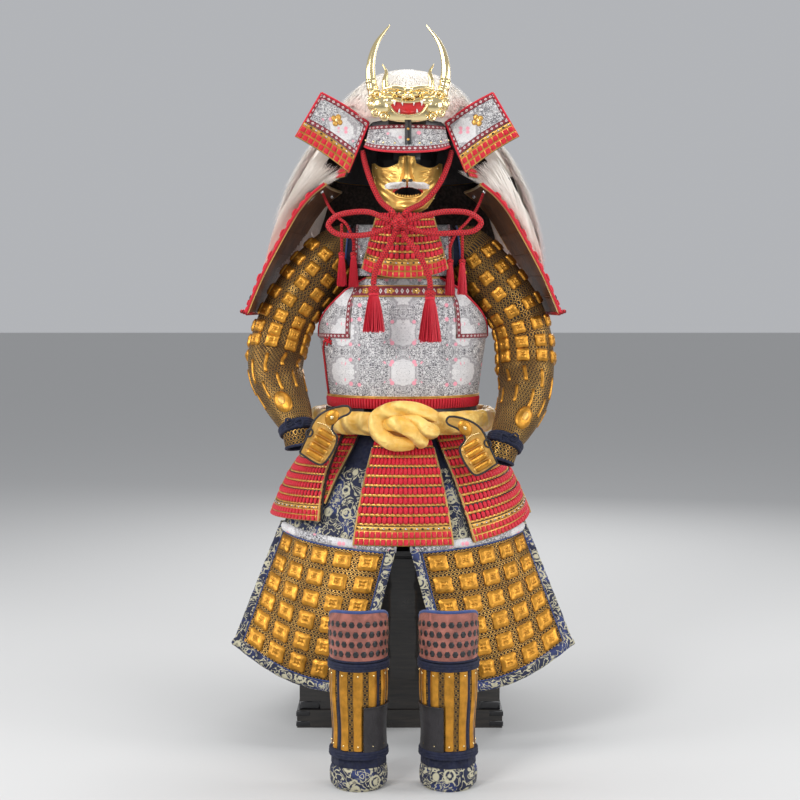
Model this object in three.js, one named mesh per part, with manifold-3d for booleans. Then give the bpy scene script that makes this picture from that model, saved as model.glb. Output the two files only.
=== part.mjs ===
// Samurai armour on its chest stand, in millimetres, +Z up, with its front towards -Y.
// The origin is on the floor, below the post that carries the armour.
import * as THREE from 'three';
import { mergeVertices } from 'three/addons/utils/BufferGeometryUtils.js';
import Module from 'manifold-3d';

const wasm = await Module();
wasm.setup();

// Driving sizes
const GAP = 0.4;
const CHEST = { x: -8, y: 30, width: 466, depth: 370, height: 385, wall: 12, plinth: 42, proud: 6 };
const LID = { width: 482, depth: 386, thick: 30 };
const POST = { side: 44, top: 1132 };
const SHOULDER_BAR = { y: 8, width: 214, depth: 34, height: 42 };
// Head block: radius and height from its neck up, with the flat crown last
const HEAD_NECK = 26;
const HEAD_PROFILE = [[26, 1225], [58, 1262], [72, 1320], [74, 1390], [66, 1440], [44, 1466], [18, 1486.1]];
const HEAD_SIDES = 14;
const HEAD_X = 9;
const HEAD_Y = -12;
const HELMET_Y = -35;
// Peg on the head block that the mask leans on
const FACE_REST = { width: 22, high: 14, z: 1206, front: -149.4 };
const CUIRASS_WALL = 3;
const SIDE_PLATE = 2.5;
// Heights of the panels' rows, of which the side plates cover some, and columns on each part of the front
const FRONT_ROWS = [742.3, 795, 850, 905, 925, 945, 965, 990, 1020, 1049];
const PLATE_ROWS = FRONT_ROWS.slice(3, 9);
const PANEL_COLUMNS = 3;
const EDGE_COLUMNS = 3;
const BACK_ROWS = [742.3, 820, 905, 950, 1000, 1060, 1139];
const LACED_WALL = 3;
const CLOTH_WALL = 3;
const LAME_STEP = 5;
const SKIRT_TOP = 741.9;
const BELT = { z: 711, high: 54, deep: 34 };
const BELT_STRAND = 20;
const BELT_CLEAR = 4.9;
const BELT_RINGS = 24;
const BELT_SECTION = 8;
// Strands of the belt's knot: x, how far in front of the knot's middle plane, z
const KNOT_REACH = 3.4;
const KNOT_STRANDS = [
  [[70, 0, 724], [30, 0, 746], [-20, 8, 750], [-58, 0, 728], [-54, 6, 694], [-18, 8, 670], [26, 0, 668]],
  [[-40, 14, 722], [0, 10, 716], [34, 14, 694], [46, 0, 674]],
  [[-20, 12, 742], [18, 16, 728], [52, 8, 712], [72, 0, 704]],
];
const CHIN_CORD = 13;
const TIE_CORD = 7;
const SHIN = { x: 92, y: -543, top: 372, hem: 46 };
const ARM_DROP = { left: 0, right: 32 };

// Half width w, depth to the front f and to the back b, at heights z
const TORSO = [
  { z: 742, w: 176, f: 140, b: 128 },
  { z: 790, w: 182, f: 148, b: 130 },
  { z: 850, w: 190, f: 152, b: 134 },
  { z: 913, w: 198, f: 148, b: 138 },
  { z: 960, w: 195, f: 140, b: 138 },
  { z: 1000, w: 188, f: 132, b: 134 },
  { z: 1049, w: 176, f: 120, b: 126 },
  { z: 1100, w: 160, f: 104, b: 112 },
  { z: 1150, w: 140, f: 88, b: 96 },
];
// Front panel: half angle of its edge, and of the line where the side plate starts
const FRONT_EDGE = [
  { z: 742, edge: 88, plate: 38 },
  { z: 905, edge: 88, plate: 38 },
  { z: 925, edge: 86, plate: 38 },
  { z: 945, edge: 80, plate: 38 },
  { z: 965, edge: 71, plate: 38 },
  { z: 990, edge: 59, plate: 38 },
  { z: 1020, edge: 46, plate: 34 },
  { z: 1049, edge: 28, plate: 20 },
];
const BACK_EDGE = [
  { z: 742, edge: 88.2 },
  { z: 905, edge: 88.2 },
  { z: 950, edge: 100 },
  { z: 1000, edge: 114 },
  { z: 1060, edge: 126 },
  { z: 1100, edge: 134 },
  { z: 1139, edge: 140 },
];
const SKIRT = [
  { z: 420, w: 322, f: 266, b: 262 },
  { z: 484, w: 302, f: 247, b: 246 },
  { z: 584, w: 256, f: 210, b: 208 },
  { z: 640, w: 216, f: 180, b: 176 },
  { z: 684, w: 184, f: 149, b: 139 },
  { z: 712, w: 179.5, f: 143.5, b: 133.5 },
  { z: 742, w: 176.5, f: 140, b: 129.5 },
];
// Tassets: inner edge angle at the top and the foot, outer edge, layer, and heights of the foot
const TASSETS = [
  { name: 'tasset_centre', layer: 0, from: -19.5, fromLow: -21, to: 19.5, toLow: 21,
    low: 444, lowOut: 444 },
  { name: 'tasset_front_left', layer: 0, from: -31, fromLow: -38, to: -63, toLow: -66,
    low: 530, lowOut: 520 },
  { name: 'tasset_side_left', layer: 12, from: -48, fromLow: -37, to: -92, toLow: -94,
    low: 492, lowOut: 480 },
  { name: 'tasset_front_right', layer: 0, from: 22, fromLow: 30, to: 86, toLow: 88, low: 446, lowOut: 492 },
  { name: 'tasset_side_right', layer: 0, from: 91, fromLow: 92, to: 138, toLow: 140,
    low: 480, lowOut: 480 },
  { name: 'tasset_back_left', layer: 0, from: -103, fromLow: -101, to: -178, toLow: -178,
    low: 480, lowOut: 480 },
  { name: 'tasset_back_right', layer: 0, from: 178, fromLow: 178, to: 142, toLow: 144,
    low: 480, lowOut: 480 },
];
const TASSET_LAMES = 5;
// Degrees round the body that one column of a tasset covers
const COLUMN_TURN = 11;
// Fewest columns of a tasset, where the last lame ends above the foot, and the lames' feet
const LEAST_COLUMNS = 5;
const LAME_END = 0.988;
const LAME_FOOT = 1.5;
const LAMES_TOP = 656;
const BELT_FOOT = 684;
const LAYER_AT_BELT = 8.5;

const THROAT = [
  { z: 1040, w: 114, f: 99, b: 99 },
  { z: 1067, w: 106, f: 90, b: 90 },
  { z: 1120, w: 90, f: 76, b: 76 },
  { z: 1194, w: 66, f: 56, b: 56 },
];
const THROAT_TOP = 1193.4;
const THROAT_GUARD = { x: 4, y: -88, half: 62, lames: 4, foot: 1044, rise: 22 };
const HELMET = [
  { z: 1270, w: 172, f: 196, b: 178 },
  { z: 1330, w: 138, f: 170, b: 148 },
  { z: 1343, w: 126, f: 164, b: 142 },
  { z: 1390, w: 112, f: 132, b: 126 },
  { z: 1430, w: 107, f: 124, b: 122 },
  { z: 1460, w: 92, f: 106, b: 106 },
  { z: 1482, w: 64, f: 72, b: 72 },
  { z: 1492, w: 34, f: 38, b: 38 },
];
const BOWL_ROWS = [1390, 1440, 1470, 1492];
const BOWL_SIDES = 16;
const BOWL_WALL = 3;
// Visor: half angle and heights of its foot in the middle and how much it rises outside
const VISOR = { half: 50, foot: 1324, rise: 19 };
// Neck guard: its lames, its foot, and how far a lame stands proud at its top and foot
const NECK_GUARD = { lames: 4, foot: 1274, top: 4, low: 0.5 };
// Turn-back: corners towards and away from the middle, and its bow
const TURN_BACK = {
  topIn: [-88, -123, 1398],
  topOut: [-194, -150, 1462],
  lowIn: [-134, -152, 1283],
  lowOut: [-252, -160, 1362],
  bow: 10,
  wall: 1.5,
};
// Angle of the neck guard's front edges
const GUARD_EDGE = 56;
const MANE = [
  { z: 1050, w: 318, f: 190, b: 232 },
  { z: 1085, w: 314, f: 185, b: 230 },
  { z: 1150, w: 306, f: 170, b: 224 },
  { z: 1220, w: 288, f: 150, b: 216 },
  { z: 1284, w: 262, f: 130, b: 204 },
  { z: 1353, w: 220, f: 128, b: 188 },
  { z: 1400, w: 176, f: 150, b: 172 },
  { z: 1462, w: 136, f: 138, b: 146 },
  { z: 1500, w: 98, f: 102, b: 112 },
  { z: 1522, w: 60, f: 64, b: 70 },
  { z: 1533, w: 24, f: 26, b: 28 },
];
const MANE_Y = -10;
const MANE_CROWN = 1531;
const MANE_WALL = 24;
const MANE_COLUMNS = 20;
// Rows of the mane from its crown to its foot; its inside starts at the third
const MANE_ROWS = [0, 0.05, 0.13, 0.25, 0.42, 0.62, 0.82, 1];
const MANE_FOOT = [
  { a: 0, foot: 1404 },
  { a: 34, foot: 1410 },
  { a: 48, foot: 1440 },
  { a: 66, foot: 1440 },
  { a: 76, foot: 1180 },
  { a: 88, foot: 1096 },
  { a: 110, foot: 1076 },
  { a: 180, foot: 1060 },
];
// Crest: place of its plate, and the half outline of the plate from its foot to its top, out and up
const CREST = { x: 11, y: -186, plate: 8 };
const CREST_OUTLINE = [
  [0, 1396], [30, 1397], [58, 1405], [80, 1420], [96, 1438], [99, 1452], [84, 1456], [86, 1466],
  [66, 1470], [44, 1464], [20, 1470], [0, 1466],
];
const CREST_NOSE = { z: 1448, wide: 15, deep: 17, high: 11 };
const CREST_BULGES = [
  { out: 34, z: 1452, wide: 22, deep: 12, high: 10 },
  { out: 66, z: 1432, wide: 22, deep: 14, high: 18 },
  { out: 28, z: 1404, wide: 24, deep: 10, high: 8 },
];
const BIG_HORN = [
  { out: 76, back: 6, z: 1454, r: 12 },
  { out: 83, back: 6, z: 1484, r: 10.5 },
  { out: 84, back: 8, z: 1520, r: 9 },
  { out: 72, back: 14, z: 1566, r: 6.5 },
  { out: 40, back: 22, z: 1613, r: 1.2 },
];
const SMALL_HORN = [
  { out: 50, back: 4, z: 1456, r: 9 },
  { out: 52, back: 4, z: 1484, r: 7 },
  { out: 49, back: 8, z: 1505, r: 4.5 },
  { out: 58, back: 12, z: 1524, r: 1 },
];
const CREST_HOLDER = [
  { z: 1341, back: -201.4, front: -205.4 },
  { z: 1406, back: -179.4, front: -186 },
];
const MASK = [
  { z: 1194, half: 20, front: -146, side: -126 },
  { z: 1203, half: 42, front: -152, side: -118 },
  { z: 1222, half: 57, front: -154, side: -106 },
  { z: 1245, half: 68, front: -155, side: -98 },
  { z: 1270, half: 75, front: -152, side: -92 },
  { z: 1292, half: 80, front: -148, side: -88 },
  { z: 1306, half: 81, front: -144, side: -86 },
];
const NOSE = [
  { z: 1250, out: 0, half: 20 },
  { z: 1262, out: 22, half: 19 },
  { z: 1275, out: 26, half: 14 },
  { z: 1298, out: 18, half: 10 },
  { z: 1320, out: 10, half: 9 },
];
// Mask: its foot, its top at the nose's bridge and beside it, the eyes' dip, and how far it turns
const MASK_SHAPE = { foot: 1194, bridge: 1320, brow: 1306, dip: 12, turn: 82, wall: 2.5 };
const MASK_COLUMNS = [0.14, 0.27, 0.4, 0.55, 0.7, 0.85, 1];
const MASK_ROWS = [0, 0.07, 0.16, 0.28, 0.4, 0.47, 0.54, 0.63, 0.74, 0.87, 1];
const MOUTH = { half: 32, high: 12.5, y: -150, z: 1238 };
const LIP = { wide: 9.8, deep: 4.5, high: 6, y: -155, z: 1259 };
// Rings of points round a sleeve outside and inside, and their rows
const SLEEVE_GRID = { sides: 16, rows: 12, innerSides: 8, innerRows: 9, mail: 0.86 };
// Sleeve: centre line out from the middle, y and z, and the radii sideways and in depth
const SLEEVE = [
  { left: 115.5, right: 115.5, y: 2, z: 1116, side: 50, deep: 54 },
  { left: 150, right: 150, y: 2, z: 1116, side: 54, deep: 58 },
  { left: 193, right: 193, y: -2, z: 1072, side: 64, deep: 65 },
  { left: 223, right: 227, y: -5, z: 1034, side: 66, deep: 67 },
  { left: 259, right: 267, y: -8, z: 985, side: 64, deep: 67 },
  { left: 282, right: 286, y: -12, z: 938, side: 64, deep: 66 },
  { left: 295, right: 292, y: -18, z: 897, side: 65, deep: 64 },
  { left: 302, right: 292, y: -30, z: 858, side: 65, deep: 62 },
  { left: 300, right: 289, y: -56, z: 822, side: 61, deep: 56 },
  { left: 286, right: 280, y: -90, z: 790, side: 57, deep: 51 },
  { left: 270, right: 266, y: -124, z: 760, side: 51, deep: 45 },
  { left: 254, right: 250, y: -154, z: 732, side: 44, deep: 38 },
  { left: 244, right: 236, y: -176, z: 709, side: 37, deep: 32 },
  { left: 238, right: 226, y: -190, z: 686, side: 34, deep: 28 },
  { left: 234, right: 218, y: -198, z: 660, side: 32, deep: 25 },
];
const WRIST_TIE = [
  { t: 0.868, out: 0 },
  { t: 0.872, out: 3 },
  { t: 0.908, out: 3 },
  { t: 0.912, out: 0 },
];
const HANDS = [
  { side: 'left', x: -187, y: -220.9, z: 670 },
  { side: 'right', x: 166, y: -220.4, z: 646 },
];
// Hand guard: plate, the ridges of its fingers, and how it leans outwards
const HAND_PLATE = 4;
const FINGERS = { count: 4, radius: 7, length: 44, low: -28, pitch: 18, flat: 0.8 };
const HAND_LEAN = { side: 0.51, up: 0.86 };
// Shoulder guard: its section out from the middle and up, at its front edge
const SHOULDER_GUARD = [
  { out: 178, z: 1258 },
  { out: 210, z: 1232 },
  { out: 240, z: 1196 },
  { out: 268, z: 1150 },
  { out: 296, z: 1100 },
  { out: 322, z: 1050 },
  { out: 344, z: 1001 },
  { out: 360, z: 962 },
];
const SHOULDER_GUARD_SPAN = { front: -112, back: 128, turn: 26, bow: 6, wall: 4, lames: 6, plate: 0.13 };
// How far hair stays clear of the bowl and of the shoulder guard's wall
const HAIR_CLEAR = 1.2;
const GUARD_CLEAR = 11;
const STRAP = { inner: 55, outer: 115, thick: 6 };
// Under side of the shoulder strap
const STRAP_LINE = [
  { y: -112, z: 1049.5 },
  { y: -110, z: 1085 },
  { y: -92, z: 1126 },
  { y: -58, z: 1153 },
  { y: -14, z: 1165 },
  { y: 30, z: 1165 },
  { y: 60, z: 1156 },
  { y: 79, z: 1139.5 },
];
// Apron under the tassets: half angle, distance behind them, and its foot in the middle and outside
const APRON = { half: 72, top: 736, behind: 12, wall: 2, foot: 446, footOut: 471, rows: 6, columns: 14 };
// Thigh guard panel: lower corners out from the middle, y and z, with its bow forward and its sag
const THIGH = {
  slit: 2.4,
  lowIn: [102, -312, 126],
  lowOut: [384, -246, 220],
  bow: 26,
  belly: 12,
  sag: 26,
  border: 0.06,
  roll: 6,
};
const SHIN_SECTION = [
  { z: 0, w: 53, f: 55 },
  { z: 46, w: 54, f: 50 },
  { z: 120, w: 51, f: 47 },
  { z: 200, w: 56, f: 51 },
  { z: 272, w: 55, f: 52 },
  { z: 330, w: 57, f: 54 },
  { z: 372, w: 52, f: 50 },
];
const SHIN_SPLINTS = 5;
const SPLINT_HIGH = 3;
const SHIN_PATCH_ROWS = [82, 128, 170];
// Half the turn of a shin guard, the drop of its top edge, its walls, and the patch's splint columns
const SHIN_SHAPE = { half: 112, drop: 34, wall: 4, hemWall: 5, pad: 3.5, patch: 2 };
const PATCH_COLUMNS = { left: [9, 15], right: [2, 8] };
// Ties round a shin guard: their heights, and how far they stand out
const SHIN_TIES = [
  { low: 66, high: 80 },
  { low: 248, high: 262 },
];
const SHIN_TIE_OUT = 4.5;
const PAD_FOOT = 264;
const PAD_ROWS = [0.08, 0.32, 0.55, 0.8, 1];
// Brocade hem: height and puff
const HEM_ROWS = [
  { z: 0, puff: -2 },
  { z: 8, puff: 3 },
  { z: 30, puff: 4 },
  { z: 46, puff: 0 },
];

// Knot of the chin cord
const KNOT = { x: -9, y: -206, z: 1166, r: 19 };
// Routes that start at the knot leave it at an angle from +X, measured in the front plane.
const CHIN_ROUTES = [
  { name: 'chin_cord_left', leave: 122, points: [
    [-50, -172, 1216], [-66, -160, 1246], [-78, -148, 1276], [-87, -136, 1306], [-93.4, -124, 1334],
  ] },
  { name: 'chin_cord_right', leave: 58, points: [
    [42, -174, 1212], [70, -162, 1240], [90, -150, 1272], [103, -137, 1304], [111.6, -124, 1334],
  ] },
  { name: 'bow_loop_left', leave: 163, back: 203, points: [
    [-74, -204, 1190], [-118, -200, 1190], [-154, -198, 1180], [-168, -198, 1161],
    [-152, -200, 1144], [-112, -203, 1138], [-72, -206, 1142],
  ] },
  { name: 'bow_loop_right', leave: 17, back: -23, points: [
    [52, -206, 1184], [100, -202, 1192], [150, -198, 1188], [175, -198, 1168],
    [160, -200, 1150], [112, -203, 1144], [56, -206, 1144],
  ] },
  { name: 'cord_tail_left', leave: 247, points: [
    [-34, -211, 1112], [-50, -213, 1084], [-62, -214, 1058], [-66, -214, 1040], [-66, -214, 1028],
  ] },
  { name: 'cord_tail_right', leave: 293, points: [
    [20, -213, 1116], [40, -215, 1086], [54, -215, 1056], [60, -215, 1034], [60, -215, 1019],
  ] },
];
// Each starts under the top edge of its shoulder guard and ends on its first tassel.
const TIE_ROUTES = [
  { name: 'tie_cord_left', points: [
    [-188.4, -64, 1245], [-180, -72, 1226], [-168, -90, 1204], [-148, -116, 1182], [-133, -126, 1171],
    [-121, -128, 1150], [-114, -128, 1128], [-114, -128, 1106],
  ] },
  { name: 'tie_cord_right', points: [
    [188.4, -64, 1245], [180, -72, 1224], [168, -90, 1200], [146, -116, 1172], [130, -126, 1156],
    [117, -128, 1138], [108, -128, 1114], [108, -128, 1090],
  ] },
];
// Turned head of a tassel from its foot up, in radii of the head
const TASSEL_HEAD = [[0, -1.6], [1, -1.35], [0.8, -0.95], [1, -0.4], [0.6, 0], [0, 0]];
const SMALL_TASSEL = { head: 8, reach: 12, strands: 13 };
const TASSELS = [
  { name: 'tassel_large_left', x: -66, y: -214, z: 1027.6, foot: 920, head: 13, reach: 26, strands: 20 },
  { name: 'tassel_large_right', x: 60, y: -215, z: 1018.6, foot: 898, head: 13, reach: 27, strands: 20 },
  { name: 'tassel_left_a', x: -114, y: -128, z: 1105.6, foot: 1022, ...SMALL_TASSEL },
  { name: 'tassel_left_b', x: -141, y: -128, z: 1105.6, foot: 1024, ...SMALL_TASSEL, string: 64.3 },
  { name: 'tassel_right_a', x: 108, y: -128, z: 1089.6, foot: 1003, ...SMALL_TASSEL },
  { name: 'tassel_right_b', x: 136, y: -128, z: 1089.6, foot: 1005, ...SMALL_TASSEL, string: 64.2 },
];

const COLOURS = {
  lacing: ['#e1283c', 0.8, 0],
  brocade: ['#dedbd8', 0.7, 0],
  gold: ['#cda03c', 0.35, 0.9],
  darkGold: ['#b07c22', 0.45, 0.8],
  bright: ['#f0d67a', 0.12, 1],
  mask: ['#c89638', 0.35, 0.9],
  hair: ['#f5ebe1', 0.9, 0],
  leather: ['#69412a', 0.7, 0],
  black: ['#2b282a', 0.5, 0],
  belt: ['#f5c350', 0.7, 0],
  navy: ['#1e2346', 0.8, 0],
  knee: ['#a5645a', 0.7, 0],
  chest: ['#161513', 0.35, 0],
  wood: ['#5a3d24', 0.6, 0],
};

const DEG = Math.PI / 180;
const SIDES = [
  { side: 'left', mirror: -1 },
  { side: 'right', mirror: 1 },
];

const armour = new THREE.Group();

function add(name, geometry, colour) {
  const [shade, roughness, metalness] = COLOURS[colour];
  const material = new THREE.MeshStandardMaterial({ color: shade, roughness, metalness });
  const mesh = new THREE.Mesh(geometry, material);
  mesh.name = name;
  armour.add(mesh);
}

// One column of a table, read along straight lines between its rows.
function readLine(table, column, value, key = 'z') {
  let i = 0;
  while (i < table.length - 2 && table[i + 1][key] < value) {
    i += 1;
  }
  const t = (value - table[i][key]) / (table[i + 1][key] - table[i][key]);
  return mix(table[i][column], table[i + 1][column], Math.min(1, Math.max(0, t)));
}

// One column of a table, read smoothly between its rows.
function read(table, column, value, key = 'z') {
  const last = table.length - 1;
  const at = Math.min(Math.max(value, table[0][key]), table[last][key]);
  let i = 0;
  while (i < last - 1 && table[i + 1][key] < at) {
    i += 1;
  }
  const slope = (j) => {
    const low = table[Math.max(j - 1, 0)];
    const high = table[Math.min(j + 1, last)];
    return (high[column] - low[column]) / (high[key] - low[key]);
  };
  const span = table[i + 1][key] - table[i][key];
  const t = (at - table[i][key]) / span;
  const rise = 3 * t * t - 2 * t * t * t;
  const start = table[i][column] * (1 - rise) + (t * t * t - 2 * t * t + t) * span * slope(i);
  return start + table[i + 1][column] * rise + (t * t * t - t * t) * span * slope(i + 1);
}

function mix(a, b, t) {
  return a + (b - a) * t;
}

function steps(count) {
  return Array.from({ length: count + 1 }, (_, i) => i / count);
}

// A closed body of indexed triangles, turned so that its faces point out.
function body(points, faces) {
  let volume = 0;
  for (const [a, b, c] of faces) {
    const [p, q, r] = [points[a], points[b], points[c]];
    volume += p[0] * (q[1] * r[2] - q[2] * r[1]);
    volume += p[1] * (q[2] * r[0] - q[0] * r[2]);
    volume += p[2] * (q[0] * r[1] - q[1] * r[0]);
  }
  const geometry = new THREE.BufferGeometry();
  geometry.setAttribute('position', new THREE.Float32BufferAttribute(points.flat(), 3));
  geometry.setIndex(faces.map((face) => (volume < 0 ? [face[0], face[2], face[1]] : face)).flat());
  return geometry;
}

// Triangles between two lines of points that start and end side by side.
function zip(a, b, faces) {
  let i = 0;
  let j = 0;
  while (i < a.length - 1 || j < b.length - 1) {
    const nextA = (i + 1) / (a.length - 1);
    const nextB = (j + 1) / (b.length - 1);
    if (j === b.length - 1 || (i < a.length - 1 && nextA <= nextB)) {
      faces.push([a[i], a[i + 1], b[j]]);
      i += 1;
    } else {
      faces.push([a[i], b[j + 1], b[j]]);
      j += 1;
    }
  }
}

// A wall between an outer and an inner grid of points, which may differ in rows and columns.
// A ring wall is closed round its columns and open at its first and last row.
function wall(outer, inner, ring = false) {
  const points = [];
  const faces = [];
  const lay = (grid, flip) => {
    const base = points.length;
    const wide = grid[0].length;
    const index = (r, c) => base + r * wide + (c % wide);
    points.push(...grid.flat());
    for (let r = 0; r < grid.length - 1; r += 1) {
      for (let c = 0; c < (ring ? wide : wide - 1); c += 1) {
        const [p, q, s, t] = [index(r, c), index(r, c + 1), index(r + 1, c + 1), index(r + 1, c)];
        faces.push(flip ? [p, s, q] : [p, q, s], flip ? [p, t, s] : [p, s, t]);
      }
    }
    const across = (r) => Array.from({ length: ring ? wide + 1 : wide }, (_, c) => index(r, c));
    const down = (c) => grid.map((_, r) => index(r, c));
    const edges = [across(0).reverse(), across(grid.length - 1)];
    if (!ring) {
      edges.push(down(0), down(wide - 1).reverse());
    }
    return edges;
  };
  const outerEdges = lay(outer, false);
  const innerEdges = lay(inner, true);
  outerEdges.forEach((edge, i) => zip(edge, innerEdges[i], faces));
  return body(points, faces);
}

// A full body through closed rings of points, with a fan at both ends.
function loft(rings) {
  const points = rings.flat();
  const faces = [];
  const wide = rings[0].length;
  const index = (r, c) => r * wide + (c % wide);
  for (let r = 0; r < rings.length - 1; r += 1) {
    for (let c = 0; c < wide; c += 1) {
      faces.push([index(r, c), index(r, c + 1), index(r + 1, c + 1)]);
      faces.push([index(r, c), index(r + 1, c + 1), index(r + 1, c)]);
    }
  }
  [0, rings.length - 1].forEach((r, end) => {
    const centre = [0, 1, 2].map((k) => rings[r].reduce((sum, point) => sum + point[k], 0) / wide);
    points.push(centre);
    for (let c = 0; c < wide; c += 1) {
      const fan = [index(r, c + 1), index(r, c), points.length - 1];
      faces.push(end ? fan.reverse() : fan);
    }
  });
  return body(points, faces);
}

function toSolid(geometry) {
  const bare = geometry.clone();
  bare.deleteAttribute('normal');
  bare.deleteAttribute('uv');
  const merged = mergeVertices(bare, 1e-4);
  const vertProperties = new Float32Array(merged.attributes.position.array);
  const triVerts = new Uint32Array(merged.index.array);
  return new wasm.Manifold(new wasm.Mesh({ numProp: 3, vertProperties, triVerts }));
}

function fromSolid(solid) {
  const mesh = solid.getMesh();
  const geometry = new THREE.BufferGeometry();
  geometry.setAttribute('position', new THREE.BufferAttribute(mesh.vertProperties, 3));
  geometry.setIndex(new THREE.BufferAttribute(mesh.triVerts, 1));
  return geometry;
}

function join(...geometries) {
  return fromSolid(geometries.map(toSolid).reduce((whole, piece) => whole.add(piece)));
}

function cut(geometry, ...tools) {
  return fromSolid(tools.map(toSolid).reduce((whole, tool) => whole.subtract(tool), toSolid(geometry)));
}

function box(width, depth, height, x, y, z) {
  return new THREE.BoxGeometry(width, depth, height).translate(x, y, z + height / 2);
}

// A round tube along a line of points, closed at both ends.
function tube(points, diameter, length, sides = 8) {
  const path = new THREE.CatmullRomCurve3(points.map((point) => new THREE.Vector3(...point)));
  const outline = steps(sides).slice(1).map((t) => {
    const turn = t * 2 * Math.PI;
    return new THREE.Vector2(Math.cos(turn) * diameter / 2, Math.sin(turn) * diameter / 2);
  });
  const count = Math.max(3, Math.round(path.getLength() / length));
  return new THREE.ExtrudeGeometry(new THREE.Shape(outline), { steps: count, extrudePath: path });
}

// A round body of changing thickness along a line of points, each with its radius.
function taper(rows, sides, count) {
  const path = new THREE.CatmullRomCurve3(rows.map((row) => new THREE.Vector3(row.x, row.y, row.z)));
  const radii = new THREE.CatmullRomCurve3(rows.map((row) => new THREE.Vector3(row.r, 0, 0)));
  const frames = path.computeFrenetFrames(count, false);
  return loft(steps(count).map((t, i) => {
    const centre = path.getPointAt(t);
    const radius = radii.getPoint(t).x;
    return steps(sides).slice(1).map((turn) => {
      const point = centre.clone();
      point.addScaledVector(frames.normals[i], radius * Math.cos(turn * 2 * Math.PI));
      point.addScaledVector(frames.binormals[i], radius * Math.sin(turn * 2 * Math.PI));
      return point.toArray();
    });
  }));
}

// A point at an angle from the front and a height on an oval body, moved out from it.
function onOval(table, angle, z, out = 0, x = 0, y = 0) {
  const turn = angle * DEG;
  const deep = Math.cos(turn) > 0 ? read(table, 'f', z) : read(table, 'b', z);
  const wide = read(table, 'w', z);
  return [x + (wide + out) * Math.sin(turn), y - (deep + out) * Math.cos(turn), z];
}

// Lacquered chest with a plinth, open at the top, and its lid.
function makeChest() {
  const { x, y, width, depth, height, wall: thick, plinth, proud } = CHEST;
  const outside = join(
    box(width, depth, height, x, y, 0),
    box(width + 2 * proud, depth + 2 * proud, plinth, x, y, 0),
  );
  const hollow = box(width - 2 * thick, depth - 2 * thick, height, x, y, thick);
  add('chest_body', cut(outside, hollow), 'chest');
  add('chest_lid', box(LID.width, LID.depth, LID.thick, x, y, height + GAP), 'chest');
}

// Post with a shoulder bar, and the block that the helmet sits on.
function makeStand() {
  const foot = CHEST.height + GAP + LID.thick + GAP;
  const post = box(POST.side, POST.side, POST.top - foot, 0, 0, foot);
  const { y, width, depth, height } = SHOULDER_BAR;
  const barTop = STRAP_LINE[4].z - GAP;
  add('stand_post', join(post, box(width, depth, height, 0, y, barTop - height)), 'wood');
  const neck = barTop + GAP;
  const crown = HEAD_PROFILE[HEAD_PROFILE.length - 1][1];
  const profile = [[0, neck], [HEAD_NECK, neck], ...HEAD_PROFILE, [0, crown]];
  const outline = profile.map(([r, z]) => new THREE.Vector2(r, z));
  const head = new THREE.LatheGeometry(outline, HEAD_SIDES).rotateX(Math.PI / 2).translate(HEAD_X, HEAD_Y, 0);
  const { width: wide, high, z, front } = FACE_REST;
  add('stand_head', join(head, box(wide, HEAD_Y - front, high, HEAD_X, (HEAD_Y + front) / 2, z)), 'wood');
}

// Cuirass front with its armholes; the columns outside the plate line carry the side plates.
function frontAngles(z) {
  const plate = readLine(FRONT_EDGE, 'plate', z);
  const edge = readLine(FRONT_EDGE, 'edge', z);
  const half = steps(PANEL_COLUMNS).map((t) => t * plate);
  half.push(...steps(EDGE_COLUMNS).slice(1).map((t) => mix(plate, edge, t)));
  return [...half.slice(1).reverse().map((angle) => -angle), ...half];
}

function makeCuirass() {
  const grid = (out) => FRONT_ROWS.map((z) => frontAngles(z).map((angle) => onOval(TORSO, angle, z, out)));
  add('cuirass_front', wall(grid(0), grid(-CUIRASS_WALL)), 'brocade');

  const back = (out, columns) => BACK_ROWS.map((z) => {
    const edge = readLine(BACK_EDGE, 'edge', z);
    return steps(columns).map((t) => onOval(TORSO, mix(edge, 360 - edge, t), z, out));
  });
  add('cuirass_back', wall(back(0, 12), back(-CUIRASS_WALL, 8)), 'brocade');

  for (const { side, mirror } of SIDES) {
    const plate = (out) => PLATE_ROWS.map((z) => {
      const angles = frontAngles(z);
      const outward = mirror < 0 ? angles.slice(0, EDGE_COLUMNS + 1) : angles.slice(-EDGE_COLUMNS - 1);
      return outward.map((angle) => onOval(TORSO, angle, z, out));
    });
    add(`side_plate_${side}`, wall(plate(GAP + SIDE_PLATE), plate(GAP)), 'brocade');

    const strap = (lift) => STRAP_LINE.map((row, i) => {
      const low = STRAP_LINE[Math.max(i - 1, 0)];
      const high = STRAP_LINE[Math.min(i + 1, STRAP_LINE.length - 1)];
      const length = Math.hypot(high.y - low.y, high.z - low.z);
      const y = row.y - lift * (high.z - low.z) / length;
      const z = row.z + lift * (high.y - low.y) / length;
      return [STRAP.inner, STRAP.outer].map((x) => [mirror * x, y, z]);
    });
    add(`shoulder_strap_${side}`, wall(strap(STRAP.thick), strap(0)), 'leather');
  }
}

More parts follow.
